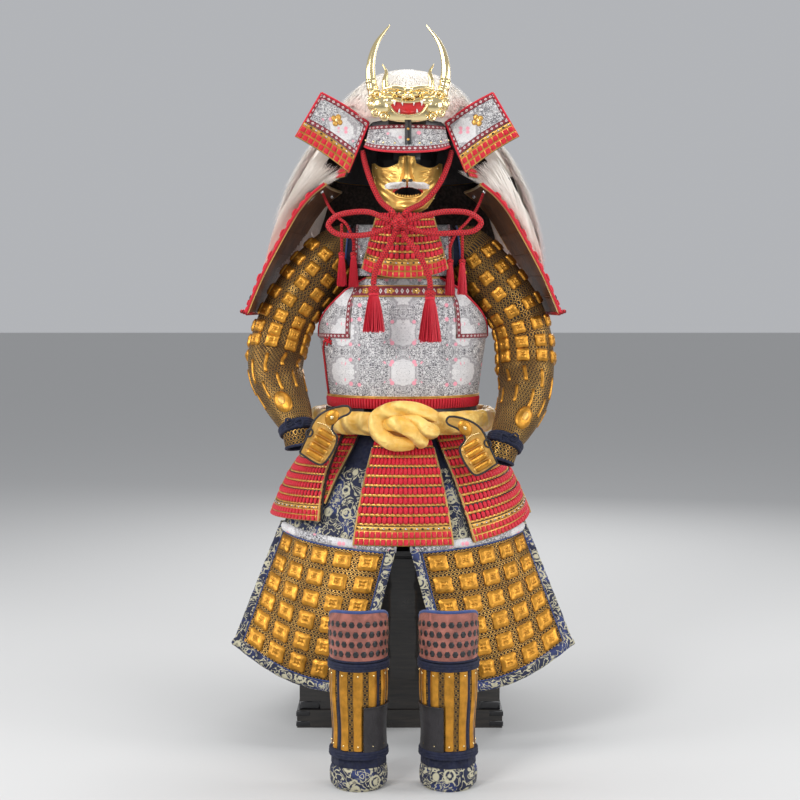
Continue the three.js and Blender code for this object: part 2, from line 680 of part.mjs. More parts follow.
// One tasset: its free lacing, then lames that each stand proud of the one above.
function makeTasset({ name, from, fromLow, to, toLow, layer, low, lowOut }) {
  const height = SKIRT_TOP - (low + lowOut) / 2;
  const lace = (SKIRT_TOP - LAMES_TOP) / height;
  const under = (SKIRT_TOP - BELT_FOOT) / height;
  const rows = [0, under / 2, under, lace - 0.01].map((t) => ({ t, out: 0 }));
  for (let lame = 0; lame < TASSET_LAMES; lame += 1) {
    const top = mix(lace, 1, lame / TASSET_LAMES);
    const foot = mix(lace, 1, (lame + 1) / TASSET_LAMES);
    rows.push({ t: top, out: LAME_STEP }, { t: foot - 0.012, out: LAME_FOOT });
  }
  const point = (t, across, out) => {
    const angle = mix(mix(from, fromLow, t), mix(to, toLow, t), across);
    const foot = mix(low, lowOut, across);
    const lift = layer && mix(LAYER_AT_BELT, layer, Math.min(1, Math.max(0, (t - under) / (lace - under))));
    return onOval(SKIRT, angle, mix(SKIRT_TOP, foot, t), out + lift);
  };
  const columns = Math.max(LEAST_COLUMNS, Math.round(Math.abs(to - from) / COLUMN_TURN));
  const outer = rows.map(({ t, out }) => steps(columns).map((across) => point(t, across, out)));
  const innerRows = [0, under / 2, under, lace, mix(lace, 1, 0.3), mix(lace, 1, 0.65), LAME_END];
  const inner = innerRows.map((t) => steps(columns).map((across) => point(t, across, -LACED_WALL)));
  add(name, wall(outer, inner), 'lacing');
}

// Cloth apron under the tassets, which carries the two thigh panels.
function onApron(angle, t, out) {
  const foot = mix(APRON.foot, APRON.footOut, (Math.abs(angle) / APRON.half) ** 1.2);
  const behind = mix(LACED_WALL + 1, APRON.behind, Math.min(1, t * 3));
  return onOval(SKIRT, angle, mix(APRON.top, foot, t), out - behind);
}

function makeThighGuard() {
  const apron = (out) => steps(APRON.rows).map((t) => steps(APRON.columns).map((across) => {
    return onApron(mix(-APRON.half, APRON.half, across), t, out);
  }));
  add('thigh_apron', wall(apron(0), apron(-APRON.wall)), 'navy');
  for (const { side, mirror } of SIDES) {
    add(`thigh_panel_${side}`, makeThighPanel(mirror), 'darkGold');
  }
}

// A point on a thigh panel: its top follows the foot of the apron and its foot bows forward.
function onThighPanel(across, down) {
  const { slit, lowIn, lowOut, bow, belly, sag } = THIGH;
  const top = onApron(mix(slit, APRON.half, across), 1, 0);
  const swell = Math.sin(across * Math.PI);
  const x = mix(top[0], mix(lowIn[0], lowOut[0], across), down);
  const y = mix(top[1], mix(lowIn[1], lowOut[1], across) - bow * swell, down);
  const z = mix(top[2] - GAP, mix(lowIn[2], lowOut[2], across) - sag * swell, down);
  return new THREE.Vector3(x, y - belly * Math.sin(down * Math.PI), z);
}

// A mail panel of cloth with a padded roll round its border.
function makeThighPanel(mirror) {
  const { border, roll } = THIGH;
  const small = 0.01;
  const point = (across, down, out) => {
    const base = onThighPanel(across, down);
    const along = onThighPanel(across + small, down).sub(onThighPanel(across - small, down));
    const fall = onThighPanel(across, down + small).sub(onThighPanel(across, down - small));
    const normal = along.cross(fall).normalize();
    base.addScaledVector(normal, -out);
    return [mirror * base.x, base.y, base.z];
  };
  const lines = [
    { t: 0, high: 1 },
    { t: border * 0.5, high: roll },
    { t: border, high: roll * 0.7 },
    { t: border + small, high: 0 },
    { t: 0.3, high: 0 },
    { t: 0.5, high: 0 },
    { t: 0.7, high: 0 },
    { t: 0.99 - border, high: 0 },
    { t: 1 - border, high: roll * 0.7 },
    { t: 1 - border * 0.5, high: roll },
    { t: 1, high: 1 },
  ];
  const height = (a, b) => {
    const atRim = a.high === 1 || b.high === 1;
    return Math.min(roll, Math.max(a.high, b.high)) * (atRim ? 1 / roll : 1);
  };
  const outer = lines.map((down) => lines.map((across) => point(across.t, down.t, height(across, down))));
  const inner = steps(5).map((down) => steps(6).map((across) => point(across, down, -CLOTH_WALL)));
  return wall(outer, inner);
}

// Padded cloth belt and its front knot of three interlaced strands.
function makeBelt() {
  const rings = steps(BELT_RINGS).slice(1).map((t) => {
    const angle = t * 360;
    return steps(BELT_SECTION).slice(1).map((s) => {
      const turn = s * 2 * Math.PI;
      const out = BELT.deep / 2 * (1 + Math.cos(turn)) + LAYER_AT_BELT + BELT_CLEAR;
      const point = onOval(SKIRT, angle, BELT.z, out);
      return [point[0], point[1], BELT.z + BELT.high / 2 * Math.sin(turn)];
    });
  });
  const faces = [];
  for (let r = 0; r < BELT_RINGS; r += 1) {
    for (let c = 0; c < BELT_SECTION; c += 1) {
      const here = r * BELT_SECTION;
      const next = ((r + 1) % BELT_RINGS) * BELT_SECTION;
      const beside = (c + 1) % BELT_SECTION;
      faces.push([here + c, here + beside, next + beside], [here + c, next + beside, next + c]);
    }
  }
  add('belt', body(rings.flat(), faces), 'belt');

  const front = -read(SKIRT, 'f', BELT.z) - BELT.deep - LAYER_AT_BELT - BELT_STRAND + KNOT_REACH;
  const strands = KNOT_STRANDS.map((line) => {
    return taper(line.map(([x, out, z]) => ({ x, y: front - out, z, r: BELT_STRAND })), 8, 7);
  });
  add('belt_knot', join(...strands), 'belt');
}

// Helmet bowl, visor, laced neck guard and the two turn-backs.
function makeHelmet() {
  const at = (angle, z, out) => onOval(HELMET, angle, z, out, HEAD_X, HELMET_Y);
  const bowl = (out) => BOWL_ROWS.map((z) => steps(BOWL_SIDES).slice(1).map((t) => at(t * 360, z, out)));
  const outside = bowl(0);
  const crown = BOWL_ROWS[BOWL_ROWS.length - 1];
  const lower = ([x, y, z]) => [x, y, z === crown ? z - BOWL_WALL : z];
  const inside = bowl(-BOWL_WALL).map((row) => row.map(lower));
  add('helmet_bowl', dome(outside, inside), 'black');

  const rim = BOWL_ROWS[0] - GAP;
  const visorFoot = (angle) => VISOR.foot + VISOR.rise * (angle / VISOR.half) ** 2;
  const visor = (out, rows) => steps(rows).map((t) => steps(10).map((across) => {
    const angle = mix(-VISOR.half, VISOR.half, across);
    return at(angle, mix(rim, visorFoot(angle), t), out);
  }));
  add('visor', wall(visor(1, 3), visor(-2, 1)), 'brocade');

  const guardRows = [];
  const { lames, foot, top, low } = NECK_GUARD;
  for (let lame = 0; lame < lames; lame += 1) {
    guardRows.push({ t: lame / lames, out: top }, { t: (lame + 0.96) / lames, out: low });
  }
  const guard = (rows, columns, wallOut) => rows.map(({ t, out }) => steps(columns).map((across) => {
    const angle = mix(GUARD_EDGE, 360 - GUARD_EDGE, across);
    return at(angle, mix(rim, foot, t), out + wallOut);
  }));
  const guardInside = [0, 0.33, 0.66, 0.99].map((t) => ({ t, out: 0 }));
  add('neck_guard', wall(guard(guardRows, 14, 0), guard(guardInside, 10, -LACED_WALL)), 'lacing');

  for (const { side, mirror } of SIDES) {
    add(`turn_back_${side}`, makeTurnBack(mirror), 'brocade');
  }
}

// A dome between two sets of rings that both close at the top.
function dome(outside, inside) {
  const shell = wall(outside.slice(0, -1), inside.slice(0, -1), true);
  const top = outside.length - 1;
  const lid = loft([inside[top - 1], outside[top - 1], outside[top]]);
  const plug = loft([inside[top - 1], inside[top]]);
  return cut(join(shell, lid), plug);
}

// A turn-back: brocade plate with one stepped laced lame along its foot.
function makeTurnBack(mirror) {
  const { topIn, topOut, lowIn, lowOut, bow, wall: thick } = TURN_BACK;
  const rows = [{ t: 0, out: 2 }, { t: 0.66, out: 2 }, { t: 0.67, out: 5 }, { t: 1, out: 3 }];
  const point = (across, t, out) => {
    const p = [0, 1, 2].map((k) => {
      return mix(mix(topIn[k], topOut[k], across), mix(lowIn[k], lowOut[k], across), t);
    });
    const swell = bow * Math.sin(across * Math.PI);
    return [HEAD_X - mirror * p[0], p[1] - out + swell * 0.6, p[2] + swell * 0.5];
  };
  const outer = rows.map(({ t, out }) => steps(6).map((across) => point(across, t, out)));
  return wall(outer, [0, 1].map((t) => steps(6).map((across) => point(across, t, -thick))));
}

// Hair: a crown over the bowl and a mane down the sides and the back.
function makeMane() {
  const ring = (t, out) => steps(MANE_COLUMNS).slice(1).map((c) => {
    const angle = c * 360;
    const fold = Math.min(angle, 360 - angle);
    const foot = readLine(MANE_FOOT, 'foot', fold, 'a');
    return onOval(MANE, angle, mix(MANE_CROWN, foot, t), out, HEAD_X, MANE_Y);
  });
  const full = loft(MANE_ROWS.map((t) => ring(t, 0)).reverse());
  const hollowRows = MANE_ROWS.slice(2).map((t) => ring(t, -MANE_WALL));
  const shoulder = BOWL_ROWS[1];
  const bowlSpace = [...BOWL_ROWS].reverse().map((row) => steps(BOWL_SIDES).slice(1).map((c) => {
    const [x, y, z] = onOval(HELMET, c * 360, row, HAIR_CLEAR, HEAD_X, HELMET_Y);
    return [x, y, z + (row > shoulder ? HAIR_CLEAR : 0)];
  }));
  const below = bowlSpace[bowlSpace.length - 1].map(([x, y, z]) => [x, y, z - 100]);
  const foot = hollowRows[hollowRows.length - 1].map(([x, y, z]) => [x, y, z - 60]);
  const hollow = [...hollowRows, foot];
  const beside = [-1, 1].map((mirror) => {
    const grid = (lift) => steps(6).map((t) => steps(4).map((across) => {
      const point = onShoulderGuard(mirror, t, mix(-0.06, 1.06, across), lift);
      return lift > 0 ? point : [mirror * 60, point[1], point[2] - 40];
    }));
    return wall(grid(GUARD_CLEAR), grid(-1));
  });
  return cut(full, loft([...bowlSpace, below]), loft(hollow), ...beside);
}

// Crest: a broad horned mask plate cast with two large and two small horns, on its holder.
function makeCrest() {
  const { x, y, plate: thick } = CREST;
  const outline = new THREE.Shape(CREST_OUTLINE.map(([across, z]) => new THREE.Vector2(across, z)));
  CREST_OUTLINE.slice(1, -1).reverse().forEach(([across, z]) => outline.lineTo(-across, z));
  const plate = new THREE.ExtrudeGeometry(outline, { depth: thick, bevelEnabled: false });
  plate.rotateX(Math.PI / 2).translate(x, y + thick, 0);
  const bulge = (across, { z, wide, deep, high }) => {
    const ball = new THREE.SphereGeometry(1, 7, 4).scale(wide, deep, high);
    return ball.translate(x + across, y, z);
  };
  const horn = (mirror, rows, sides, count) => {
    const line = rows.map(({ out, back, z, r }) => ({ x: x + mirror * out, y: y + back, z, r }));
    return taper(line, sides, count);
  };
  const pieces = [plate, bulge(0, CREST_NOSE)];
  for (const { mirror } of SIDES) {
    CREST_BULGES.forEach((row) => pieces.push(bulge(mirror * row.out, row)));
    pieces.push(horn(mirror, BIG_HORN, 7, 7), horn(mirror, SMALL_HORN, 6, 4));
  }
  pieces.push(loft(CREST_HOLDER.map(({ z, back, front }) => [
    [x - 7, back, z],
    [x + 7, back, z],
    [x + 7, front, z],
    [x - 7, front, z],
  ])));
  return join(...pieces);
}

// Half mask with a nose, an open mouth and eye cut-outs along its top edge.
function makeMask() {
  const { foot, bridge, brow, dip, turn: most } = MASK_SHAPE;
  const eyeDip = (u) => {
    const side = Math.abs(u);
    return side < 0.14 ? bridge : brow - dip * Math.sin(Math.min(1, (side - 0.14) / 0.66) * Math.PI);
  };
  const point = (u, t, out) => {
    const z = mix(foot, eyeDip(u), t);
    const half = read(MASK, 'half', z) + out;
    const front = read(MASK, 'front', z) - out;
    const side = read(MASK, 'side', z);
    const turn = u * most * DEG;
    const x = half * Math.sin(turn) / Math.sin(most * DEG);
    const ridge = Math.max(0, 1 - (x / read(NOSE, 'half', z)) ** 2);
    const nose = z > NOSE[0].z ? read(NOSE, 'out', z) * ridge : 0;
    const chin = 8 * Math.max(0, 1 - (x / 26) ** 2) * Math.max(0, 1 - ((z - 1204) / 12) ** 2);
    const cheek = 6 * Math.exp(-(((Math.abs(x) - 44) / 16) ** 2) - (((z - 1268) / 18) ** 2));
    return [HEAD_X + x, mix(side, front, Math.cos(turn)) - nose - chin - cheek, z];
  };
  const columns = [...[...MASK_COLUMNS].reverse().map((u) => -u), 0, ...MASK_COLUMNS];
  const shell = wall(
    MASK_ROWS.map((t) => columns.map((u) => point(u, t, 0))),
    MASK_ROWS.filter((_, i) => i % 2 === 0).map((t) => columns.map((u) => point(u, t, -MASK_SHAPE.wall))),
  );
  const { half, high, z, y } = MOUTH;
  const mouth = new THREE.CylinderGeometry(1, 1, 60, 16).scale(half, 1, high).translate(HEAD_X + 2, y, z);
  const lip = new THREE.CylinderGeometry(1, 1, 10, 8).rotateZ(Math.PI / 2);
  lip.scale(LIP.wide, LIP.deep, LIP.high).translate(HEAD_X, LIP.y, LIP.z);
  return cut(join(shell, lip), mouth);
}

// Laced throat guard below the mask.
function makeThroat() {
  const { x, y, half, lames, foot, rise } = THROAT_GUARD;
  const rows = [];
  for (let lame = 0; lame < lames; lame += 1) {
    rows.push({ t: lame / lames, out: LAME_STEP }, { t: (lame + 0.95) / lames, out: LAME_FOOT });
  }
  const point = (t, across, out) => {
    const angle = mix(-half, half, across);
    const low = foot + rise * (angle / half) ** 2;
    return onOval(THROAT, angle, mix(THROAT_TOP, low, t), out, x, y);
  };
  const outer = rows.map(({ t, out }) => steps(10).map((across) => point(t, across, out)));
  return wall(outer, [0, 0.5, 0.98].map((t) => steps(10).map((across) => point(t, across, -LACED_WALL))));
}

// One sleeve of padded cloth and mail, with the cord that ties it at the wrist.
function makeSleeve(side, mirror) {
  const drop = ARM_DROP[side];
  const path = new THREE.CatmullRomCurve3(SLEEVE.map((row, i) => {
    const fall = drop * Math.min(1, Math.max(0, i - 1) / 6);
    return new THREE.Vector3(mirror * row[side], row.y, row.z - fall);
  }));
  const size = new THREE.CatmullRomCurve3(SLEEVE.map((row) => new THREE.Vector3(row.side, row.deep, 0)));
  const depthAxis = new THREE.Vector3(0, 1, 0);
  const ring = (t, sides, out) => {
    const centre = path.getPoint(t);
    const along = path.getTangent(t);
    const deep = depthAxis.clone().addScaledVector(along, -along.y).normalize();
    const wide = new THREE.Vector3().crossVectors(along, deep);
    const radii = size.getPoint(t);
    return steps(sides).slice(1).map((turn) => {
      const point = centre.clone();
      point.addScaledVector(wide, (radii.x + out) * Math.cos(turn * 2 * Math.PI));
      point.addScaledVector(deep, (radii.y + out) * Math.sin(turn * 2 * Math.PI));
      return point.toArray();
    });
  };
  const { sides: outerSides, rows, innerSides, innerRows, mail } = SLEEVE_GRID;
  const levels = [...steps(rows).map((t) => ({ t: t * mail, out: 0 })), ...WRIST_TIE, { t: 1, out: 0 }];
  const outer = levels.map(({ t, out }) => ring(t, outerSides, out));
  return wall(outer, steps(innerRows).map((t) => ring(t, innerSides, -CLOTH_WALL)), true);
}

// Hand guard: a plate with four finger ridges and a thumb plate, edged with leather.
function makeHandGuard({ side, x, y, z }) {
  const flip = side === 'left' ? 1 : -1;
  const lean = flip * HAND_LEAN.side;
  const outline = new THREE.Shape();
  outline.moveTo(flip * -30, -40);
  outline.lineTo(flip * 14, -42);
  outline.quadraticCurveTo(flip * 31, -38, flip * 32, -14);
  outline.lineTo(flip * 31, 16);
  outline.quadraticCurveTo(flip * 28, 38, flip * 6, 42);
  outline.quadraticCurveTo(flip * -6, 62, flip * 20, 92);
  outline.quadraticCurveTo(flip * 24, 104, flip * 10, 106);
  outline.lineTo(flip * -24, 76);
  outline.lineTo(flip * -38, 44);
  outline.closePath();
  const options = { depth: HAND_PLATE, bevelEnabled: false, curveSegments: 4 };
  const pieces = [new THREE.ExtrudeGeometry(outline, options)];
  const { count, radius, length, low, pitch, flat } = FINGERS;
  for (let finger = 0; finger < count; finger += 1) {
    const ridge = new THREE.CylinderGeometry(radius, radius, length, 8).rotateZ(Math.PI / 2);
    pieces.push(ridge.scale(1, 1, flat).translate(flip, low + finger * pitch, HAND_PLATE));
  }
  const frame = new THREE.Matrix4().makeBasis(
    new THREE.Vector3(HAND_LEAN.up, 0, -lean),
    new THREE.Vector3(lean, 0, HAND_LEAN.up),
    new THREE.Vector3(0, -1, 0),
  );
  return join(...pieces).applyMatrix4(frame).translate(x, y, z);
}

// Shoulder guard: leather plate with laced lames outside, turned so that its inside shows.
const GUARD_PATH = new THREE.CatmullRomCurve3(
  SHOULDER_GUARD.map(({ out, z }) => new THREE.Vector3(out, 0, z)),
);

function onShoulderGuard(mirror, t, across, lift) {
  const { front, back, turn, bow } = SHOULDER_GUARD_SPAN;
  const centre = GUARD_PATH.getPoint(t);
  const along = GUARD_PATH.getTangent(t);
  const shift = bow * Math.sin(Math.min(1, Math.max(0, across)) * Math.PI) - turn * across;
  return [mirror * (centre.x - along.z * lift + shift), mix(front, back, across), centre.z + along.x * lift];
}

function makeShoulderGuard(mirror) {
  const { wall: thick, lames, plate } = SHOULDER_GUARD_SPAN;
  const point = (t, across, lift) => onShoulderGuard(mirror, t, across, lift);
  const rows = [{ t: 0, out: thick }, { t: 0.12, out: thick }];
  for (let lame = 0; lame < lames; lame += 1) {
    const top = mix(plate, 1, lame / lames);
    const foot = mix(plate, 1, (lame + 0.94) / lames);
    rows.push({ t: top, out: thick + LAME_STEP }, { t: foot, out: thick + 1 });
  }
  const outer = rows.map(({ t, out }) => steps(6).map((across) => point(t, across, out)));
  return wall(outer, steps(6).map((t) => steps(6).map((across) => point(t * 0.985, across, 0))));
}

// One shin guard: splinted shell, knee pad, leather patch and brocade hem.
function makeShinGuard(side, mirror) {
  const { half, drop, wall: thick, hemWall, pad: padOut, patch: patchOut } = SHIN_SHAPE;
  const centre = mirror * SHIN.x;
  const oval = SHIN_SECTION.map((row) => ({ ...row, b: row.f }));
  const at = (angle, z, out) => onOval(oval, angle, z, out, centre, SHIN.y);
  const rim = (angle) => SHIN.top - drop * Math.min(1, Math.abs(angle) / half) ** 4;

  const columns = [];
  for (let splint = 0; splint < SHIN_SPLINTS; splint += 1) {
    const start = mix(-half, half, (splint + 0.22) / SHIN_SPLINTS);
    const end = mix(-half, half, (splint + 0.78) / SHIN_SPLINTS);
    const middle = (start + end) / 2;
    columns.push({ angle: start, out: 0 }, { angle: middle, out: SPLINT_HIGH }, { angle: end, out: 0 });
  }
  const lines = [{ angle: -half, out: 0 }, ...columns, { angle: half, out: 0 }];
  const outline = lines.map(({ angle }) => angle);
  const across = (angles, z, out) => angles.map((angle) => at(angle, z, out));
  const shellTop = (t) => (angle) => mix(PAD_FOOT, rim(angle) - 2, t);
  const upper = (angles, t, out) => angles.map((angle) => at(angle, shellTop(t)(angle), out));
  const low = SHIN.hem + GAP;
  const outer = [low, SHIN_TIES[0].low - 2].map((z) => lines.map(({ angle, out }) => at(angle, z, out)));
  outer.push(...[SHIN_TIES[0].low, SHIN_TIES[0].high].map((z) => across(outline, z, SHIN_TIE_OUT)));
  outer.push(...[...SHIN_PATCH_ROWS, SHIN_TIES[1].low - 2].map((z) => {
    return lines.map(({ angle, out }) => at(angle, z, out));
  }));
  outer.push(...[SHIN_TIES[1].low, SHIN_TIES[1].high].map((z) => across(outline, z, SHIN_TIE_OUT)));
  outer.push(lines.map(({ angle, out }) => at(angle, PAD_FOOT, out)));
  outer.push(...[0.08, 0.55, 1].map((t) => upper(outline, t, 0)));
  const innerAngles = steps(10).map((t) => mix(-half, half, t));
  const inner = [low, 120, 200, PAD_FOOT].map((z) => across(innerAngles, z, -thick));
  inner.push(...[0.55, 1].map((t) => upper(innerAngles, t, -thick)));
  add(`shin_shell_${side}`, wall(outer, inner), 'gold');

  const pad = (out, parts) => parts.map((t) => upper(outline, t, out));
  add(`knee_pad_${side}`, wall(pad(padOut, PAD_ROWS), pad(GAP, [0.08, 0.55, 1])), 'knee');

  const patchLines = lines.slice(...PATCH_COLUMNS[side]);
  const patch = (extra) => SHIN_PATCH_ROWS.map((z) => {
    return patchLines.map(({ angle, out }) => at(angle, z, out + extra));
  });
  add(`shin_patch_${side}`, wall(patch(GAP + patchOut), patch(GAP)), 'black');

  const hemOuter = HEM_ROWS.map(({ z, puff }) => across(outline, z, 1 + puff));
  const hemInner = [0, SHIN.hem].map((z) => across(outline, z, -hemWall));
  add(`shin_hem_${side}`, wall(hemOuter, hemInner), 'navy');
}

// A three-sided strand between its root and its tip.
function prism(root, tip) {
  const faces = [[0, 2, 1], [3, 4, 5]];
  for (let c = 0; c < 3; c += 1) {
    const next = (c + 1) % 3;
    faces.push([c, next, next + 3], [c, next + 3, c + 3]);
  }
  return body([...root, ...tip], faces);
}

// A tassel: a turned head with a skirt of three-sided strands rooted in it.
function makeTassel({ x, y, z, foot, head, reach, strands, string }) {
  const outline = TASSEL_HEAD.map(([r, h]) => new THREE.Vector2(r * head, h * head));
  const pieces = [new THREE.LatheGeometry(outline, 8).rotateX(Math.PI / 2)];
  for (let i = 0; i < strands; i += 1) {
    const ring = i % 2 ? 1 : 0.55;
    const turn = i / strands * 2 * Math.PI;
    const width = reach * 0.16;
    const inner = head * 0.62 * ring;
    const tip = reach * ring * 0.9;
    const length = (z - foot) * (i % 3 ? 1 : 0.96);
    const level = (radius, depth, size) => [0, 1, 2].map((corner) => {
      const spin = turn + corner * 2 * Math.PI / 3;
      const out = [Math.cos, Math.sin].map((wave) => radius * wave(turn) + size * wave(spin));
      return [...out, depth];
    });
    pieces.push(prism(level(inner, -head * 1.3, width * 0.42), level(tip, -length, width)));
  }
  if (string) {
    const cord = new THREE.CylinderGeometry(TIE_CORD / 2, TIE_CORD / 2, string, 6);
    pieces.push(cord.rotateX(Math.PI / 2).translate(0, 0, string / 2 - 1));
  }
  return join(...pieces).translate(x, y, z);
}

// Chin cord with its bow, and the small tie cords at the shoulders.
function makeCords() {
  const beyond = (angle, reach) => {
    return [KNOT.x + reach * Math.cos(angle * DEG), KNOT.y, KNOT.z + reach * Math.sin(angle * DEG)];
  };
  for (const { name, leave, back, points } of CHIN_ROUTES) {
    const route = [beyond(leave, KNOT.r + GAP), beyond(leave, KNOT.r + 12), ...points];
    if (back !== undefined) {
      route.push(beyond(back, KNOT.r + 12), beyond(back, KNOT.r + GAP));
    }
    add(name, tube(route, CHIN_CORD, CHIN_CORD * 2.4), 'lacing');
  }
  for (const { name, points } of TIE_ROUTES) {
    add(name, tube(points, TIE_CORD, TIE_CORD * 2.8), 'lacing');
  }
  add('bow_knot', new THREE.SphereGeometry(KNOT.r, 10, 8).translate(KNOT.x, KNOT.y, KNOT.z), 'lacing');
  for (const { name, ...tassel } of TASSELS) {
    add(name, makeTassel(tassel), 'lacing');
  }
}

makeChest();
makeStand();
makeCuirass();
TASSETS.forEach(makeTasset);
makeThighGuard();
makeBelt();
makeHelmet();
add('mane', makeMane(), 'hair');
add('crest', makeCrest(), 'bright');
add('mask', makeMask(), 'mask');
add('throat_guard', makeThroat(), 'lacing');
for (const { side, mirror } of SIDES) {
  add(`sleeve_${side}`, makeSleeve(side, mirror), 'darkGold');
  add(`shoulder_guard_${side}`, makeShoulderGuard(mirror), 'leather');
  makeShinGuard(side, mirror);
}
HANDS.forEach((hand) => add(`hand_guard_${hand.side}`, makeHandGuard(hand), 'gold'));
makeCords();

export default armour;
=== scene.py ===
import math
import random

import bpy
import numpy as np
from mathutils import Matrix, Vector


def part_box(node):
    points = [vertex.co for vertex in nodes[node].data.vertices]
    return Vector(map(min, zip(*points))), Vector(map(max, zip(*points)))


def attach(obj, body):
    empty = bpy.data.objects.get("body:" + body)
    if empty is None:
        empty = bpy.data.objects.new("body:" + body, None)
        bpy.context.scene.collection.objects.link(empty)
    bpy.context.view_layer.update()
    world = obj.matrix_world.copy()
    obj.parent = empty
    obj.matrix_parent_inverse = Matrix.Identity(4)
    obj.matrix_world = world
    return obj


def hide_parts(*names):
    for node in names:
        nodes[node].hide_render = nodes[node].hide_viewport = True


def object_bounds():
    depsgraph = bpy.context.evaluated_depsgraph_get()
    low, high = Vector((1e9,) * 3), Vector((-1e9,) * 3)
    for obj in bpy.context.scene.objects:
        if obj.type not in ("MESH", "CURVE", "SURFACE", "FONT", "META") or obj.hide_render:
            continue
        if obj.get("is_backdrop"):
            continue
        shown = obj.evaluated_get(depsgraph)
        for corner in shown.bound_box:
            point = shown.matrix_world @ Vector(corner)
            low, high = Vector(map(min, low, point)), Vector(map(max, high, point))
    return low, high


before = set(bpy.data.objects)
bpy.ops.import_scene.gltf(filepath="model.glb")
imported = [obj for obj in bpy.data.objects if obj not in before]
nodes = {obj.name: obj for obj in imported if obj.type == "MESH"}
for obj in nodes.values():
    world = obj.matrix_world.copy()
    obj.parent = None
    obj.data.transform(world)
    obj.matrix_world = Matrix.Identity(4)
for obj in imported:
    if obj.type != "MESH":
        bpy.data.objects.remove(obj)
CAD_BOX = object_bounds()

# Samurai armour on its chest stand: cloth, mail, lacing, hair and metal.
# Shapes are worked out in millimetres and made in metres; the camera, floor and lamps are in metres.
random.seed(11)

MM = 0.001
X_AXIS, Y_AXIS, Z_AXIS = Vector((1, 0, 0)), Vector((0, 1, 0)), Vector((0, 0, 1))
CAMERA = {"place": (-0.0072, -3.413, 0.994), "tilt": 85.98, "lens": 64, "film": 36}
FLOOR_HALF = 40
SKY = {"color": (0.86, 0.88, 0.92, 1), "strength": 0.52}
LIGHTS_AIM = (0, 0, 0.85)
# Name, place, size and power of each lamp
LIGHTS = (
    ("key", (-1.7, -2.7, 2.5), 1.2, 62),
    ("fill", (2.0, -2.5, 1.5), 1.6, 30),
    ("top", (0.0, 0.2, 3.2), 1.4, 20),
    ("back", (0.6, 2.8, 2.2), 1.8, 36),
    ("left", (-2.8, -0.5, 1.9), 1.4, 30),
    ("right", (2.8, -0.4, 1.9), 1.4, 30),
)
HEAD_X = 9
HELMET_Y = -35
SIDES = (("left", -1), ("right", 1))
CHIN_CORD = 13
TIE_CORD = 7

# Heights with half width, depth to the front and depth to the back
TORSO = [
    (742, 176, 140, 128), (790, 182, 148, 130), (850, 190, 152, 134), (913, 198, 148, 138),
    (960, 195, 140, 138), (1000, 188, 132, 134), (1049, 176, 120, 126), (1100, 160, 104, 112),
    (1150, 140, 88, 96),
]
# Height, angle of the front's edge and angle where its raised wing starts
FRONT_EDGE = [
    (742, 88, 38), (905, 88, 38), (925, 86, 38), (945, 80, 38), (965, 71, 38), (990, 59, 38), (1020, 46, 34),
    (1049, 28, 20),
]
# Height and angle of the back's edge
BACK_EDGE = [(742, 88.2), (905, 88.2), (950, 100), (1000, 114), (1060, 126), (1100, 134), (1139, 140)]
# Bodies below hold heights with half width, depth to the front and depth to the back again
SKIRT = [
    (420, 322, 266, 262), (484, 302, 247, 246), (584, 256, 210, 208), (640, 216, 180, 176),
    (684, 184, 149, 139), (712, 179.5, 143.5, 133.5), (742, 176.5, 140, 129.5),
]
THROAT = [(1040, 114, 99, 99), (1067, 106, 90, 90), (1120, 90, 76, 76), (1194, 66, 56, 56)]
HELMET = [
    (1270, 172, 196, 178), (1330, 138, 170, 148), (1343, 126, 164, 142), (1390, 112, 132, 126),
    (1430, 107, 124, 122), (1460, 92, 106, 106), (1482, 64, 72, 72), (1492, 34, 38, 38),
]
MANE = [
    (1050, 318, 190, 232), (1085, 314, 185, 230), (1150, 306, 170, 224), (1220, 288, 150, 216),
    (1284, 262, 130, 204), (1353, 220, 128, 188), (1400, 176, 150, 172), (1462, 136, 138, 146),
    (1500, 98, 102, 112), (1522, 60, 64, 70), (1533, 24, 26, 28),
]
# Angle from the front and height where the hair ends
MANE_FOOT = [
    (0, 1404), (34, 1410), (48, 1440), (66, 1440), (76, 1180), (88, 1096), (110, 1076), (180, 1060),
]
# Height, half width, front and side of the mask; then nose height, reach and half width
MASK = [
    (1194, 20, -146, -126), (1203, 42, -152, -118), (1222, 57, -154, -106), (1245, 68, -155, -98),
    (1270, 75, -152, -92), (1292, 80, -148, -88), (1306, 81, -144, -86),
]
NOSE = [(1250, 0, 20), (1262, 22, 19), (1275, 26, 14), (1298, 18, 10), (1320, 10, 9)]
# Sleeve centre line: out at the left, out at the right, y, z, half width and half depth
SLEEVE = [
    (115.5, 115.5, 2, 1116, 50, 54), (150, 150, 2, 1116, 54, 58), (193, 193, -2, 1072, 64, 65),
    (223, 227, -5, 1034, 66, 67), (259, 267, -8, 985, 64, 67), (282, 286, -12, 938, 64, 66),
    (295, 292, -18, 897, 65, 64), (302, 292, -30, 858, 65, 62), (300, 289, -56, 822, 61, 56),
    (286, 280, -90, 790, 57, 51), (270, 266, -124, 760, 51, 45), (254, 250, -154, 732, 44, 38),
    (244, 236, -176, 709, 37, 32), (238, 226, -190, 686, 34, 28), (234, 218, -198, 660, 32, 25),
]
ARM_DROP = {"left": 0, "right": 32}
# The shoulder guard's fall: how far out and how high
GUARD = [
    (178, 1258), (210, 1232), (240, 1196), (268, 1150), (296, 1100), (322, 1050), (344, 1001), (360, 962),
]
